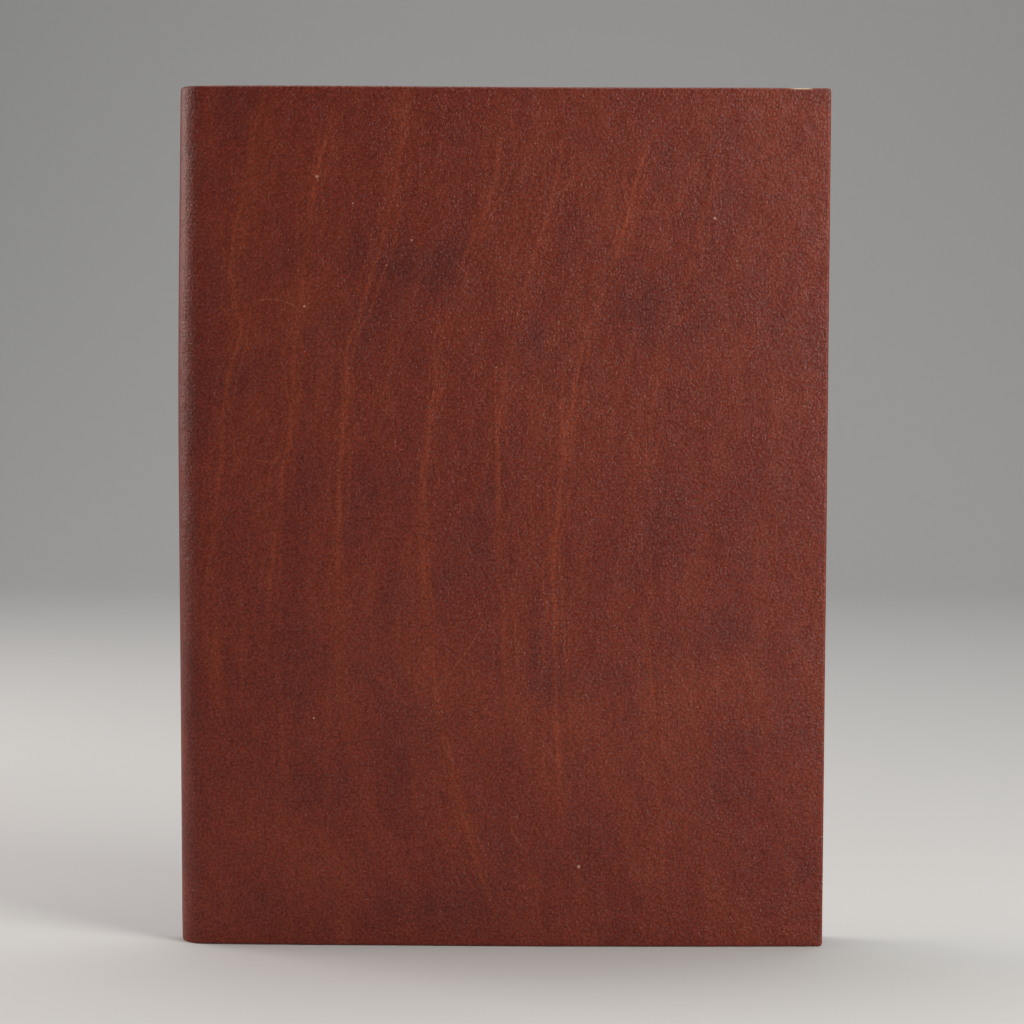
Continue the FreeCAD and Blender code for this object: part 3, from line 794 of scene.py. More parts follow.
# ================================================================= materials
class Tree:
    """Short calls for building a material's nodes."""

    def __init__(self, name):
        self.mat = bpy.data.materials.new(name)
        self.mat.use_nodes = True
        self.t = self.mat.node_tree
        self.t.nodes.clear()
        self.out = self.t.nodes.new("ShaderNodeOutputMaterial")
        self.bsdf = self.t.nodes.new("ShaderNodeBsdfPrincipled")
        self.t.links.new(self.bsdf.outputs[0], self.out.inputs[0])
        uv = self.t.nodes.new("ShaderNodeUVMap")
        uv.uv_map = "UVMap"
        self.uv = uv.outputs[0]

    def put(self, socket, value):
        if isinstance(value, bpy.types.NodeSocket):
            self.t.links.new(value, socket)
        elif value is not None:
            if hasattr(socket.default_value, "__len__") and not hasattr(value, "__len__"):
                value = [value] * len(socket.default_value)
            if hasattr(socket.default_value, "__len__") and len(socket.default_value) == 4 and len(value) == 3:
                value = list(value) + [1.0]
            socket.default_value = value

    def math(self, op, a, b=None, c=None, clamp=False):
        n = self.t.nodes.new("ShaderNodeMath")
        n.operation = op
        n.use_clamp = clamp
        for k, v in enumerate((a, b, c)):
            if v is not None:
                self.put(n.inputs[k], v)
        return n.outputs[0]

    def vmath(self, op, a, b=None):
        n = self.t.nodes.new("ShaderNodeVectorMath")
        n.operation = op
        self.put(n.inputs[0], a)
        if b is not None:
            if op == "SCALE":
                self.put(n.inputs["Scale"], b)
            else:
                self.put(n.inputs[1], b)
        return n.outputs["Value" if op in ("LENGTH", "DOT_PRODUCT", "DISTANCE") else "Vector"]

    def mm(self, offset=(0, 0, 0), scale=(1, 1, 1)):
        """The sheet's own coordinates, in millimetres."""
        n = self.t.nodes.new("ShaderNodeMapping")
        self.put(n.inputs["Vector"], self.uv)
        n.inputs["Scale"].default_value = [1000 * k for k in scale]
        n.inputs["Location"].default_value = offset
        return n.outputs[0]

    def sep(self, v):
        n = self.t.nodes.new("ShaderNodeSeparateXYZ")
        self.put(n.inputs[0], v)
        return n.outputs

    def comb(self, x, y, z=0.0):
        n = self.t.nodes.new("ShaderNodeCombineXYZ")
        for k, v in enumerate((x, y, z)):
            self.put(n.inputs[k], v)
        return n.outputs[0]

    def noise(self, vec, scale, detail=3.0, rough=0.5, distort=0.0, colour=False, lac=2.0):
        n = self.t.nodes.new("ShaderNodeTexNoise")
        n.noise_dimensions = "2D"
        self.put(n.inputs["Vector"], vec)
        for k, v in (("Scale", scale), ("Detail", detail), ("Roughness", rough), ("Distortion", distort), ("Lacunarity", lac)):
            self.put(n.inputs[k], v)
        return n.outputs["Color" if colour else "Fac"]

    def voronoi(self, vec, scale, feature="F1", rand=1.0, out="Distance", smoothness=None, detail=0.0):
        n = self.t.nodes.new("ShaderNodeTexVoronoi")
        n.voronoi_dimensions = "2D"
        n.feature = feature
        self.put(n.inputs["Vector"], vec)
        self.put(n.inputs["Scale"], scale)
        self.put(n.inputs["Randomness"], rand)
        if "Detail" in n.inputs:
            self.put(n.inputs["Detail"], detail)
        if smoothness is not None and "Smoothness" in n.inputs:
            self.put(n.inputs["Smoothness"], smoothness)
        return n.outputs[out]

    def ramp(self, fac, stops, interp="LINEAR"):
        n = self.t.nodes.new("ShaderNodeValToRGB")
        n.color_ramp.interpolation = interp
        el = n.color_ramp.elements
        while len(el) < len(stops):
            el.new(0.5)
        for e, (p, c) in zip(el, stops):
            e.position = p
            if not hasattr(c, "__len__"):
                c = (c, c, c)
            e.color = (*c[:3], 1.0)
        self.put(n.inputs[0], fac)
        return n.outputs[0]

    def range(self, v, a, b, c=0.0, d=1.0, kind="SMOOTHSTEP"):
        n = self.t.nodes.new("ShaderNodeMapRange")
        n.interpolation_type = kind
        for k, x in enumerate((v, a, b, c, d)):
            self.put(n.inputs[k], x)
        return n.outputs[0]

    def mix(self, fac, a, b, mode="MIX"):
        n = self.t.nodes.new("ShaderNodeMix")
        n.data_type = "RGBA"
        n.blend_type = mode
        n.clamp_factor = True
        self.put(n.inputs[0], fac)
        self.put(n.inputs[6], a)
        self.put(n.inputs[7], b)
        return n.outputs[2]

    def attr(self, name):
        n = self.t.nodes.new("ShaderNodeAttribute")
        n.attribute_name = name
        return n.outputs["Fac"]

    def bump(self, height, strength=1.0, distance=0.001, normal=None):
        n = self.t.nodes.new("ShaderNodeBump")
        n.inputs["Strength"].default_value = strength
        n.inputs["Distance"].default_value = distance
        self.put(n.inputs["Height"], height)
        if normal is not None:
            self.put(n.inputs["Normal"], normal)
        return n.outputs[0]

    def set(self, **kw):
        names = {"color": "Base Color", "rough": "Roughness", "normal": "Normal", "spec": "Specular IOR Level",
                 "coat": "Coat Weight", "coat_rough": "Coat Roughness", "sheen": "Sheen Weight",
                 "sheen_rough": "Sheen Roughness", "sheen_tint": "Sheen Tint", "ior": "IOR", "aniso": "Anisotropic",
                 "sss": "Subsurface Weight", "tint": "Specular Tint", "coat_normal": "Coat Normal"}
        for k, v in kw.items():
            self.put(self.bsdf.inputs[names[k]], v)
        return self.mat


def curve(t, z, pts):
    """A smooth line through (s, z) points: gives s at the height z, in mm."""
    n = t.t.nodes.new("ShaderNodeFloatCurve")
    c = n.mapping.curves[0]
    pts = sorted(((a[1] / H, a[0] / S) for a in pts))
    pts = [(0.0, pts[0][1] + (pts[0][0]) * (pts[0][1] - pts[1][1]) / (pts[1][0] - pts[0][0]) * 0.5)] + pts
    pts.append((1.0, pts[-1][1] + (1 - pts[-1][0]) * (pts[-1][1] - pts[-2][1]) / (pts[-1][0] - pts[-2][0])))
    for k, (a, v) in enumerate(pts):
        v = min(1.0, max(0.0, v))
        if k == 0:
            c.points[0].location = (a, v)
        elif k == len(pts) - 1:
            c.points[1].location = (a, v)
        else:
            c.points.new(a, v)
    n.mapping.update()
    t.put(n.inputs["Value"], t.math("MULTIPLY", z, 1.0 / H))
    n.inputs[0].default_value = 1.0
    return t.math("MULTIPLY", n.outputs[0], S)


def px(x, y):
    """A place on the front panel as seen head on: (s, z) in millimetres."""
    gx = (x - 504.5) * 0.2561 * (1 + (y - 515) * 0.000019)
    gz = (942.5 - y) * 0.2567
    return (ARC + gx - XS, gz)


def leather(name, front, seed):
    t = Tree(name)
    p = t.mm((seed, seed * 1.7, 0))
    raw = t.mm()
    xz = t.sep(raw)
    X, Z = xz[0], xz[1]

    # ---- the hide's own direction: lines lean over towards the top and foot
    up = t.math("POWER", t.math("MULTIPLY", t.math("SUBTRACT", Z, 88.0), 1 / 118.0, clamp=True), 1.5)
    dn = t.math("POWER", t.math("MULTIPLY", t.math("SUBTRACT", 88.0, Z), 1 / 74.0, clamp=True), 2.0)
    lean = t.math("MULTIPLY_ADD", X, 0.125, 11.2)
    sway = t.math("MULTIPLY", t.math("SUBTRACT", t.noise(p, 0.022, 2.0, 0.5), 0.5), 9.0)
    flow = t.math("SUBTRACT", X, t.math("MULTIPLY_ADD", dn, 17.0, t.math("MULTIPLY", lean, up)))
    flow = t.math("ADD", t.math("ADD", flow, sway), seed)

    # ---- colour
    warp = t.noise(p, 0.02, 2.0, 0.5, colour=True)
    pw = t.vmath("ADD", p, t.vmath("SCALE", warp, 22.0))
    clouds = t.noise(pw, 0.021, 4.0, 0.56)
    patches = t.noise(t.vmath("ADD", pw, (91.0, 13.0, 4.0)), 0.047, 4.0, 0.58)
    mott = t.noise(p, 0.33, 4.0, 0.62)
    base = t.ramp(clouds, [(0.30, (0.150, 0.0210, 0.0112)), (0.44, (0.161, 0.0232, 0.0120)),
                           (0.56, (0.171, 0.0255, 0.0128)), (0.72, (0.184, 0.0290, 0.0138))])
    dark = t.range(patches, 0.50, 0.70)
    if front:
        # darker cloud across the upper third, as dyed hides often have, and a long flat blot along the foot that is
        # painted shade towards the bottom edge
        dye_blot_and_foot_shade = None
        for (bx, by, rx, ry, k) in ((350, 320, 90, 42, 0.85), (440, 268, 110, 30, 0.6), (560, 352, 120, 40, 0.55), (680, 300, 95, 48, 0.75),
                                    (280, 620, 45, 75, 0.5), (735, 640, 55, 40, 0.6), (255, 350, 60, 60, 0.45), (420, 590, 90, 40, 0.35),
                                    (420, 905, 260, 22, 0.35), (600, 700, 70, 30, 0.3)):
            s0, z0 = px(bx, by)
            v = t.vmath("MULTIPLY", t.vmath("SUBTRACT", t.vmath("ADD", raw, t.vmath("SCALE", t.vmath("SUBTRACT", warp, (0.5, 0.5, 0.5)), 34.0)), (s0, z0, 0.0)),
                        (1 / (rx * 0.2561), 1 / (ry * 0.2561), 0.0))
            b = t.math("MULTIPLY", t.range(t.vmath("LENGTH", v), 1.25, 0.25), k)
            dye_blot_and_foot_shade = b if dye_blot_and_foot_shade is None else t.math("MAXIMUM", dye_blot_and_foot_shade, b)
        dark = t.math("ADD", t.math("MULTIPLY", dark, 0.55), t.math("MULTIPLY", dye_blot_and_foot_shade, t.range(patches, 0.28, 0.62, 0.35, 1.0)))
    base = t.mix(t.math("MULTIPLY", dark, 0.42, clamp=True), base, (0.086, 0.0180, 0.0155))
    light = t.range(patches, 0.46, 0.28)
    base = t.mix(t.math("MULTIPLY", light, 0.15), base, (0.225, 0.040, 0.0165))
    m1 = t.range(mott, 0.30, 0.70, 0.89, 1.11, "LINEAR")
    base = t.mix(1.0, base, t.comb(m1, m1, m1), "MULTIPLY")

    # fine lines all through the hide, along its direction
    fl = t.comb(flow, Z)
    strips = t.noise(t.vmath("MULTIPLY", fl, (0.115, 0.010, 0.0)), 1.0, 3.0, 0.55)
    base = t.mix(t.math("MULTIPLY", t.range(strips, 0.50, 0.66), 0.15), base, (0.240, 0.042, 0.0150))
    wr = t.noise(t.vmath("MULTIPLY", fl, (1.05, 0.17, 0.0)), 1.0, 3.0, 0.62, 0.55)
    wrinkle = t.range(t.math("ABSOLUTE", t.math("SUBTRACT", wr, 0.5)), 0.075, 0.0)
    wrinkle = t.math("MULTIPLY", wrinkle, t.range(strips, 0.44, 0.64, 0.18, 1.0))
    base = t.mix(t.math("MULTIPLY", wrinkle, 0.17), base, (0.270, 0.049, 0.0165))

    # ---- growth marks
    wob = t.math("ADD", t.math("MULTIPLY", t.math("SUBTRACT", t.noise(t.mm((seed, 3, 0), (0.25, 1, 1)), 0.075, 2.0, 0.5), 0.5), 1.9),
                 t.math("MULTIPLY", t.math("SUBTRACT", t.noise(t.mm((seed, 3, 0), (1, 0.4, 1)), 0.30, 2.0, 0.5), 0.5), 1.0))
    XW = t.math("ADD", X, wob)
    strength = t.range(t.noise(t.mm((seed + 40, 0, 0), (1, 0.4, 1)), 0.085, 3.0, 0.6), 0.34, 0.60, 0.42, 1.0)
    if front:
        lines = [
            ([px(262, 100), px(250, 170), px(231, 255), px(236, 300), px(243, 325), px(232, 364), px(224, 410), px(224, 450), px(214, 520), px(214, 610)], 0.9),
            ([px(335, 100), px(322, 160), px(309, 230), px(301, 300), px(295, 355), px(294, 419), px(286, 460), px(279, 520), px(272, 600), px(272, 650)], 1.0),
            ([px(408, 100), px(396, 180), px(384, 235), px(366, 290), px(350, 345), px(349, 386), px(343, 440), px(341, 505), px(342, 600)], 1.0),
            ([px(506, 100), px(494, 180), px(473, 234), px(455, 288), px(441, 343), px(435, 390), px(428, 440), px(425, 520), px(433, 640), px(446, 720),
              px(462, 800), px(478, 850), px(497, 895)], 0.9),
            ([px(566, 130), px(545, 220), px(524, 290), px(506, 375), px(500, 430), px(499, 500), px(503, 590), px(512, 690)], 0.9),
            ([px(650, 130), px(636, 180), px(622, 235), px(604, 290), px(585, 335), px(572, 400), px(563, 460), px(557, 530), px(556, 640), px(568, 790)], 1.15),
            ([px(722, 130), px(704, 210), px(689, 265), px(668, 330), px(655, 390), px(646, 460), px(648, 545)], 0.65),
            ([px(650, 640), px(655, 700), px(661, 790), px(668, 890)], 0.6),
            ([px(622, 300), px(630, 360), px(634, 440), px(640, 560)], 0.35),
            ([px(219, 500), px(216, 560), px(219, 640), px(222, 700)], 0.6),
            ([px(243, 560), px(245, 620), px(243, 690)], 0.4),
            ([px(452, 760), px(462, 800), px(468, 850)], 0.5),
            ([px(330, 560), px(334, 640), px(330, 720), px(338, 800)], 0.35),
            ([px(280, 640), px(284, 720), px(286, 820)], 0.4),
        ]
    else:
        lines = [
            ([(22, 10), (30, 60), (24, 110), (34, 160), (46, 212)], 0.8),
            ([(46, 10), (50, 70), (44, 120), (56, 180), (64, 212)], 0.9),
            ([(74, 20), (66, 80), (70, 130), (82, 200)], 0.8),
            ([(96, 8), (88, 60), (92, 120), (100, 170), (112, 214)], 1.0),
            ([(122, 40), (118, 100), (124, 160), (134, 205)], 0.7),
            ([(148, 15), (138, 80), (142, 140), (152, 190)], 0.8),
        ]
    core = halo = None
    # finer creases run beside each mark, now nearer and now further off
    beside = t.range(t.noise(t.mm((seed + 9, 5, 0), (0.3, 1, 1)), 0.06, 1.0, 0.5), 0.3, 0.7, 0.9, 3.6, "LINEAR")
    for pts, power in lines:
        zs = [a[1] for a in pts]
        z0, z1 = min(zs), max(zs)
        d = t.math("ABSOLUTE", t.math("SUBTRACT", XW, curve(t, Z, pts)))
        ends = t.range(t.math("ABSOLUTE", t.math("SUBTRACT", Z, (z0 + z1) / 2)), (z1 - z0) / 2 + 9, (z1 - z0) / 2 - 14, 0.0, power)
        pair = t.math("MULTIPLY", t.range(t.math("ABSOLUTE", t.math("SUBTRACT", d, beside)), 0.62, 0.06), 0.62)
        c = t.math("MULTIPLY", t.math("MAXIMUM", t.range(d, 1.05, 0.10), pair), ends)
        h = t.math("MULTIPLY", t.range(d, 4.6, 0.3), ends)
        core = c if core is None else t.math("MAXIMUM", core, c)
        halo = h if halo is None else t.math("MAXIMUM", halo, h)
    # each mark is a chain of short fine creases
    chain = t.noise(t.vmath("MULTIPLY", fl, (1.0, 0.30, 0.0)), 1.1, 2.0, 0.6, 1.2)
    chain = t.range(chain, 0.38, 0.60, 0.30, 1.0)
    marks = t.math("MULTIPLY", core, strength)
    marks_fine = t.math("MULTIPLY", marks, chain)
    glow = t.math("MULTIPLY", t.math("MULTIPLY", halo, strength), t.range(mott, 0.32, 0.6, 0.4, 1.0))
    col = t.mix(t.math("MULTIPLY", glow, 0.14), base, (0.238, 0.042, 0.0152))
    col = t.mix(t.math("MULTIPLY", marks_fine, 0.58), col, (0.310, 0.057, 0.0180))

    # ---- pale specks and hair scratches
    scratch = None
    if front:
        speck = None
        for (sx, sy, r) in ((318, 175, 0.50), (354, 201, 0.34), (413, 237, 0.38), (715, 214, 0.5), (582, 861, 0.62), (317, 713, 0.36),
                            (306, 303, 0.42), (498, 362, 0.3), (388, 262, 0.25), (612, 402, 0.24), (700, 700, 0.26), (540, 480, 0.22)):
            s0, z0 = px(sx, sy)
            d = t.vmath("DISTANCE", raw, (s0, z0, 0.0))
            b = t.range(d, r, r * 0.35)
            speck = b if speck is None else t.math("MAXIMUM", speck, b)
        # short arcs: (centre, radius, and the side that shows) in the photo's plan
        for (ax, ay, bx, by, sag, k) in ((252, 300, 300, 305, -6, 1.0), (424, 233, 452, 215, -1, 0.8), (258, 457, 276, 460, -2, 0.8),
                                         (513, 820, 533, 846, 3, 0.9), (470, 540, 480, 553, 1, 0.5), (640, 335, 700, 300, 3, 0.3),
                                         (238, 335, 252, 348, -2, 0.5), (487, 615, 428, 694, -4, 0.75)):
            (s0, z0), (s1, z1) = px(ax, ay), px(bx, by)
            ln = math.hypot(s1 - s0, z1 - z0)
            ex, ez = (s1 - s0) / ln, (z1 - z0) / ln
            rel = t.vmath("SUBTRACT", raw, ((s0 + s1) / 2, (z0 + z1) / 2, 0.0))
            a = t.vmath("DOT_PRODUCT", rel, (ex, ez, 0.0))
            b = t.vmath("DOT_PRODUCT", rel, (-ez, ex, 0.0))
            u = t.math("MULTIPLY", a, 2 / ln)
            u2 = t.math("MULTIPLY", u, u)
            off = t.math("SUBTRACT", b, t.math("MULTIPLY_ADD", u2, sag * 0.2561, -sag * 0.2561))
            line = t.math("MULTIPLY", t.range(t.math("ABSOLUTE", off), 0.26, 0.04), t.range(u2, 1.15, 0.4, 0.0, k))
            scratch = line if scratch is None else t.math("MAXIMUM", scratch, line)
    else:
        speck = t.range(t.voronoi(p, 0.013), 0.0050, 0.0022)
        scratch = t.math("MULTIPLY", t.range(t.voronoi(t.vmath("ADD", p, t.vmath("SCALE", warp, 40.0)), 0.03, "DISTANCE_TO_EDGE"), 0.006, 0.001),
                         t.range(patches, 0.55, 0.62))
    scratch = t.math("MULTIPLY", scratch, t.range(mott, 0.3, 0.5, 0.45, 1.0))
    col = t.mix(t.math("MULTIPLY", scratch, 0.40), col, (0.36, 0.115, 0.062))
    col = t.mix(t.math("MULTIPLY", speck, 0.70), col, (0.56, 0.33, 0.22))

    # ---- edges lighter in colour: partly real wear and polish, partly a painted highlight on the rounded edges
    edge = t.attr("edge")
    edge_tone = t.math("MULTIPLY", t.range(edge, 0.35, 1.0), t.range(t.noise(p, 0.55, 3.0, 0.65), 0.35, 0.72))
    col = t.mix(t.math("MULTIPLY", edge_tone, 0.42), col, (0.34, 0.115, 0.058))

    # ---- grain: rounded pebbles with fine creases between them
    gw = t.vmath("ADD", p, t.vmath("SCALE", t.noise(p, 0.8, 1.0, 0.5, colour=True), 0.85))
    cells = t.voronoi(gw, 1.12, "SMOOTH_F1", 1.0, smoothness=0.30)
    pebble = t.math("SUBTRACT", 1.0, cells)
    small = t.noise(p, 2.1, 2.0, 0.62)
    g1 = t.math("ADD", t.math("MULTIPLY", pebble, 0.62), t.math("MULTIPLY", small, 0.55))
    amt = t.range(t.noise(t.vmath("ADD", p, (7, 31, 2)), 0.05, 2.0, 0.5), 0.35, 0.66, 0.65, 1.0)
    h = t.math("MULTIPLY", g1, amt)
    h = t.math("ADD", h, t.math("MULTIPLY", marks, 0.22))
    h = t.math("ADD", h, t.math("MULTIPLY", t.math("ADD", speck, t.math("MULTIPLY", scratch, 0.3)), -0.7))
    # the hide is pulled tight and smooth over the spine
    taut = t.range(t.math("ABSOLUTE", X), 2.0, 11.0, 0.35, 1.0)
    n1 = t.bump(t.noise(p, 0.12, 2.0, 0.5), 0.35, 0.0012)
    n2 = t.bump(t.math("MULTIPLY", h, taut), 0.9, 0.00012, n1)
    micro = t.math("ADD", t.math("MULTIPLY", t.noise(p, 1.95, 1.0, 0.8), 1.0), t.math("MULTIPLY", pebble, 0.35))
    n3 = t.bump(t.math("MULTIPLY", micro, taut), 1.0, 0.00022, n1)

    # painted shade in the grain's creases and painted highlight on the pebble tops
    k = t.range(g1, 0.52, 0.86, 0.80, 1.15, "LINEAR")
    col = t.mix(1.0, col, t.comb(k, k, t.math("MULTIPLY_ADD", k, 0.6, 0.4)), "MULTIPLY")
    rough = t.range(t.math("ADD", t.math("MULTIPLY", clouds, 0.6), t.math("MULTIPLY", mott, 0.4)), 0.30, 0.70, 0.42, 0.50, "LINEAR")
    rough = t.math("ADD", rough, t.math("MULTIPLY", edge, -0.03))
    if front:
        # paler colour at one place on the head's rounded edge, by the fore-edge
        (wa, _z), (wb, _z) = px(786, 90), px(814, 90)
        pale_head_patch = t.math("MULTIPLY", t.range(edge, 0.35, 0.75), t.math("MULTIPLY", t.range(Z, H - 1.2, H - 0.6),
                      t.math("MULTIPLY", t.range(X, wa, wa + 2.5), t.range(X, wb, wb - 1.5))))
        col = t.mix(t.math("MULTIPLY", pale_head_patch, t.range(mott, 0.3, 0.5, 0.6, 1.0)), col, (0.50, 0.36, 0.24))
    shine = t.range(t.noise(p, 1.62, 1.0, 0.85), 0.36, 0.64, 0.14, 0.84, "LINEAR")
    shine = t.math("MULTIPLY_ADD", t.math("SUBTRACT", shine, 0.49), taut, t.range(taut, 0.35, 1.0, 0.37, 0.49, "LINEAR"))
    t.set(color=col, rough=rough, normal=n2, spec=0.05, ior=1.45, coat=shine, coat_rough=0.37, coat_normal=n3)
    return t.mat


def pocket_leather(name):
    t = Tree(name)
    p = t.mm((57, 12, 0))
    clouds = t.noise(p, 0.03, 4.0, 0.55)
    mott = t.noise(p, 0.5, 4.0, 0.6)
    base = t.ramp(clouds, [(0.3, (0.125, 0.026, 0.0135)), (0.55, (0.165, 0.036, 0.0180)), (0.75, (0.195, 0.046, 0.0220))])
    m1 = t.range(mott, 0.3, 0.7, 0.84, 1.14, "LINEAR")
    base = t.mix(1.0, base, t.comb(m1, m1, m1), "MULTIPLY")
    edge = t.attr("edge")
    edge_tone = t.math("MULTIPLY", t.range(edge, 0.3, 1.0), t.range(t.noise(p, 0.8, 3.0, 0.6), 0.3, 0.7))
    base = t.mix(t.math("MULTIPLY", edge_tone, 0.55), base, (0.055, 0.016, 0.011))
    gw = t.vmath("ADD", p, t.vmath("SCALE", t.noise(p, 1.0, 2.0, 0.5, colour=True), 0.6))
    cells = t.voronoi(gw, 1.35, "SMOOTH_F1", 1.0, smoothness=0.4)
    crease = t.range(t.voronoi(gw, 1.35, "DISTANCE_TO_EDGE"), 0.0, 0.14)
    h = t.math("ADD", t.math("MULTIPLY", cells, -0.5), t.math("MULTIPLY", crease, 0.3))
    h = t.math("ADD", h, t.math("MULTIPLY", t.noise(p, 6.0, 3.0, 0.6), 0.2))
    # painted shade: colour darker in the grain's creases between the cells
    base = t.mix(t.math("MULTIPLY", t.math("SUBTRACT", 1.0, crease), 0.22), base, (0.05, 0.012, 0.008))
    t.set(color=base, rough=t.range(mott, 0.3, 0.7, 0.44, 0.56, "LINEAR"), normal=t.bump(h, 0.7, 0.00012), spec=0.45)
    return t.mat


def lining_cloth(name):
    t = Tree(name)
    p = t.mm()
    xz = t.sep(p)
    diag = t.math("ADD", xz[0], t.math("MULTIPLY", xz[1], 1.0))
    warp = t.math("SINE", t.math("MULTIPLY", xz[0], 2 * math.pi / 0.42))
    twill = t.math("SINE", t.math("MULTIPLY", diag, 2 * math.pi / 0.84))
    h = t.math("ADD", t.math("MULTIPLY", warp, 0.35), t.math("MULTIPLY", twill, 0.65))
    slub = t.noise(t.mm((0, 0, 0), (1, 0.08, 1)), 1.2, 3.0, 0.6)
    fuzz = t.noise(p, 7.0, 3.0, 0.6)
    col = t.ramp(slub, [(0.3, (0.060, 0.030, 0.020)), (0.7, (0.105, 0.055, 0.036))])
    # painted shade in the weave's grooves and painted highlight on its raised threads
    k = t.range(h, -1.0, 1.0, 0.62, 1.15, "LINEAR")
    col = t.mix(1.0, col, t.comb(k, k, k), "MULTIPLY")
    hh = t.math("ADD", h, t.math("MULTIPLY", fuzz, 0.8))
    t.set(color=col, rough=t.range(fuzz, 0.3, 0.7, 0.78, 0.92, "LINEAR"), normal=t.bump(hh, 0.6, 0.00010),
          sheen=0.25, sheen_rough=0.5, spec=0.25)
    return t.mat


def card_stock(name, c1, c2, fleck):
    t = Tree(name)
    p = t.mm((11, 5, 0))
    fib = t.noise(t.mm((0, 0, 0), (1.0, 0.25, 1)), 1.6, 4.0, 0.65, 0.6)
    cloud = t.noise(p, 0.04, 3.0, 0.5)
    col = t.ramp(cloud, [(0.3, c1), (0.7, c2)])
    k = t.range(fib, 0.3, 0.7, 0.86, 1.12, "LINEAR")
    col = t.mix(1.0, col, t.comb(k, k, k), "MULTIPLY")
    d = t.voronoi(t.vmath("ADD", p, t.vmath("SCALE", t.noise(p, 0.9, 2.0, 0.5, colour=True), 1.4)), 0.42)
    flecks = t.math("MULTIPLY", t.range(d, 0.16, 0.07), t.range(t.noise(p, 0.6, 2.0, 0.5), 0.48, 0.6))
    col = t.mix(t.math("MULTIPLY", flecks, 0.5), col, fleck)
    t.set(color=col, rough=t.range(fib, 0.3, 0.7, 0.72, 0.86, "LINEAR"), normal=t.bump(fib, 0.35, 0.00008), spec=0.3)
    return t.mat


def paper(name):
    t = Tree(name)
    p = t.mm()
    xz = t.sep(p)
    fib = t.noise(t.mm((3, 0, 0)), 1.1, 5.0, 0.65)
    cloud = t.noise(p, 0.02, 3.0, 0.5)
    col = t.ramp(cloud, [(0.3, (0.76, 0.72, 0.62)), (0.7, (0.81, 0.775, 0.68))])
    k = t.range(fib, 0.3, 0.7, 0.955, 1.03, "LINEAR")
    col = t.mix(1.0, col, t.comb(k, k, k), "MULTIPLY")
    # faint feint ruling, 7 mm apart, with a blank head and tail
    row = t.math("MULTIPLY", t.math("SUBTRACT", xz[1], 18.0), 1 / 7.0)
    off = t.math("ABSOLUTE", t.math("SUBTRACT", t.math("FRACT", row), 0.5))
    line = t.range(off, 0.472, 0.487)
    line = t.math("MULTIPLY", line, t.math("MULTIPLY", t.range(xz[1], 19.0, 20.0), t.range(xz[1], 199.0, 198.0)))
    line = t.math("MULTIPLY", line, t.math("MULTIPLY", t.range(xz[0], 7.5, 8.0), t.range(xz[0], 143.5, 143.0)))
    col = t.mix(t.math("MULTIPLY", line, 0.40), col, (0.36, 0.38, 0.42))
    t.set(color=col, rough=t.range(fib, 0.3, 0.7, 0.80, 0.90, "LINEAR"), normal=t.bump(fib, 0.25, 0.00005), spec=0.25)
    return t.mat


def thread(name, c1, c2, wax):
    t = Tree(name)
    p = t.mm()
    xz = t.sep(p)
    ply = t.math("SINE", t.math("MULTIPLY", t.math("ADD", xz[0], t.math("MULTIPLY", xz[1], 0.45)), 2 * math.pi / 0.62))
    fuzz = t.noise(p, 6.0, 3.0, 0.6)
    # painted shade in the grooves between the plies and painted highlight on their crowns
    col = t.ramp(t.math("MULTIPLY_ADD", ply, 0.5, 0.5), [(0.0, c1), (1.0, c2)])
    k = t.range(fuzz, 0.3, 0.7, 0.85, 1.15, "LINEAR")
    col = t.mix(1.0, col, t.comb(k, k, k), "MULTIPLY")
    h = t.math("ADD", ply, t.math("MULTIPLY", fuzz, 0.6))
    t.set(color=col, rough=t.range(fuzz, 0.3, 0.7, wax, wax + 0.12, "LINEAR"), normal=t.bump(h, 0.7, 0.00010), spec=0.4)
    return t.mat


M_FRONT = leather("leather_front", True, 0.0)
M_BACK = leather("leather_back", False, 133.0)
M_POCKET = pocket_leather("leather_pocket")
M_LINING = lining_cloth("twill_lining")
M_BOARD = card_stock("grey_board", (0.30, 0.28, 0.25), (0.38, 0.36, 0.32), (0.16, 0.14, 0.12))
M_CARD = card_stock("kraft_card", (0.36, 0.225, 0.120), (0.43, 0.28, 0.155), (0.20, 0.11, 0.05))
M_PAPER = paper("laid_paper")
M_THREAD = thread("waxed_thread", (0.20, 0.095, 0.048), (0.40, 0.215, 0.115), 0.42)
M_SEW = thread("linen_thread", (0.50, 0.46, 0.38), (0.74, 0.70, 0.60), 0.70)


def dress(ob, mat, slot, *nodes):
    ob.data.materials.clear()
    ob.data.materials.append(mat)
    if nodes:
        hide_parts(*nodes)
    return ob


dress(SKIN[-1], M_FRONT, "outer_leather", "front_outer_leather", "spine_outer_leather")
dress(SKIN[1], M_BACK, "outer_leather", "back_outer_leather", "spine_outer_leather")
dress(INNER["front_lining"], M_LINING, "lining", "front_lining", "spine_lining")
dress(INNER["back_lining"], M_LINING, "lining", "back_lining", "spine_lining")
dress(INNER["front_stiff"], M_BOARD, "stiffener", "spine_stiffener")
dress(INNER["back_stiff"], M_BOARD, "stiffener", "spine_stiffener")
for pre in ("front", "back"):
    dress(INNER[pre + "_board"], M_BOARD, "board")
dress(POCKET[-1], M_POCKET, "pocket_leather", "front_pocket")
dress(POCKET[1], M_POCKET, "pocket_leather", "back_pocket")
dress(CARD, M_POCKET, "pocket_leather", "card_pocket")
dress(THREAD[-1], M_THREAD, "stitching", "front_pocket_thread")
dress(THREAD[1], M_THREAD, "stitching", "back_pocket_thread")
dress(CARD_THREAD, M_THREAD, "stitching", "card_pocket_thread")
dress(front_card, M_CARD, "card_cover", "refill_front_cover")
dress(fold, M_CARD, "card_cover", "refill_back_cover")
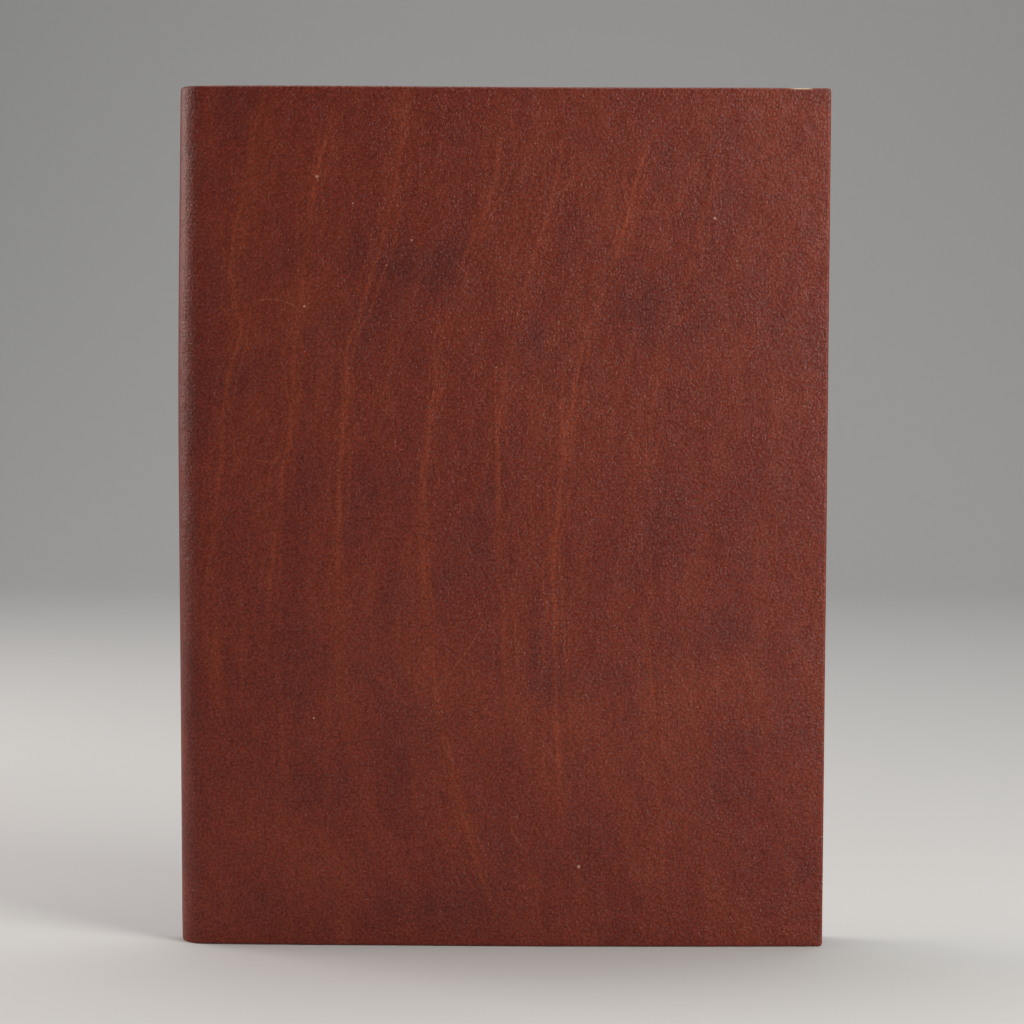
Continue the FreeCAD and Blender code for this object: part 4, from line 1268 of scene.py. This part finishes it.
dress(back_card, M_CARD, "card_cover", "refill_back_cover")
for i, ob in enumerate(SECTIONS):
    dress(ob, M_PAPER, "paper", "page_section_%d" % (i + 1))
dress(SEWING, M_SEW, "binding_thread", "binding_thread")

# what each piece moves with
for side, pre in ((-1, "front"), (1, "back")):
    bend(SKIN[side], side)
    bend(INNER[pre + "_lining"], side)
    bend(INNER[pre + "_stiff"], side)
for ob in (POCKET[-1], CARD, THREAD[-1], CARD_THREAD):
    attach(ob, "front")
for ob in (POCKET[1], THREAD[1], back_card, SEWING, *SECTIONS):
    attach(ob, "back")
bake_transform(fold)
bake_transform(front_card)

# ================================================================= the studio
def floor_and_backdrop():
    """A pale sweep: flat floor that curves up into a plain backdrop."""
    prof = [(-3.0, 0.0), (1.1, 0.0)]
    for k in range(1, 13):
        a = math.pi / 2 * k / 12
        prof.append((1.1 + 0.6 * math.sin(a), 0.6 * (1 - math.cos(a))))
    prof.append((1.7, 3.0))
    V, F = [], []
    for i, (y, z) in enumerate(prof):
        V += [(-4.0, y, z), (4.0, y, z)]
        if i:
            F.append((2 * i - 2, 2 * i - 1, 2 * i + 1, 2 * i))
    me = bpy.data.meshes.new("sweep")
    me.from_pydata(V, [], F)
    me.polygons.foreach_set("use_smooth", [True] * len(F))
    ob = bpy.data.objects.new("sweep", me)
    bpy.context.scene.collection.objects.link(ob)
    mat = bpy.data.materials.new("sweep_paper")
    mat.use_nodes = True
    b = mat.node_tree.nodes["Principled BSDF"]
    b.inputs["Base Color"].default_value = (0.56, 0.56, 0.55, 1)
    b.inputs["Roughness"].default_value = 0.85
    b.inputs["Specular IOR Level"].default_value = 0.2
    me.materials.append(mat)
    return ob


floor_and_backdrop()

world = bpy.data.worlds.new("studio")
bpy.context.scene.world = world
world.use_nodes = True
bg = world.node_tree.nodes["Background"]
bg.inputs[0].default_value = (0.92, 0.95, 1.0, 1)
bg.inputs[1].default_value = 0.05


def area(name, loc, target, size, power, colour=(1, 1, 1), spread_deg=180):
    light = bpy.data.lights.new(name, "AREA")
    light.shape = "RECTANGLE"
    light.size, light.size_y = size
    light.energy = power
    light.color = colour
    light.spread = math.radians(spread_deg)
    ob = bpy.data.objects.new(name, light)
    ob.location = loc
    ob.rotation_euler = (Vector(target) - Vector(loc)).to_track_quat("-Z", "Y").to_euler()
    ob.visible_camera = False
    bpy.context.scene.collection.objects.link(ob)
    return ob


area("key", (0.58, -0.43, 0.38), (0.0, 0, 0.10), (0.35, 0.46), 5.4, (1.0, 0.97, 0.93))
area("rim_left", (-0.78, 0.16, 0.40), (-0.083, 0, 0.12), (0.68, 0.55), 5.8, (1.0, 0.89, 0.85))
area("top", (0.1, 0.30, 1.3), (0, 0.05, 0.0), (1.4, 1.0), 7, (1, 1, 1))
area("backdrop", (0.0, 0.5, 2.1), (0, 1.5, 0.2), (1.8, 0.6), 10, (1, 1, 1))

cam_data = bpy.data.cameras.new("camera")
cam = bpy.data.objects.new("camera", cam_data)
bpy.context.scene.collection.objects.link(cam)
bpy.context.scene.camera = cam
cam_data.sensor_width = 36.0
cam_data.lens = 36.0 * 2698.5 / 1024.0
cam_data.clip_start, cam_data.clip_end = 0.01, 50
pitch, roll = math.radians(3.12), math.radians(0.26)
fwd = Vector((0, math.cos(pitch), -math.sin(pitch)))
right0 = Vector((1, 0, 0))
up0 = right0.cross(fwd)
right = right0 * math.cos(roll) + up0 * math.sin(roll)
up = -right0 * math.sin(roll) + up0 * math.cos(roll)
m = Matrix((right, up, -fwd)).transposed().to_4x4()
m.translation = Vector((0.00237, -0.696, 0.14958))
cam.matrix_world = m

scene = bpy.context.scene
scene.view_settings.view_transform = "Standard"
scene.view_settings.look = "None"
scene.view_settings.exposure = 0.0
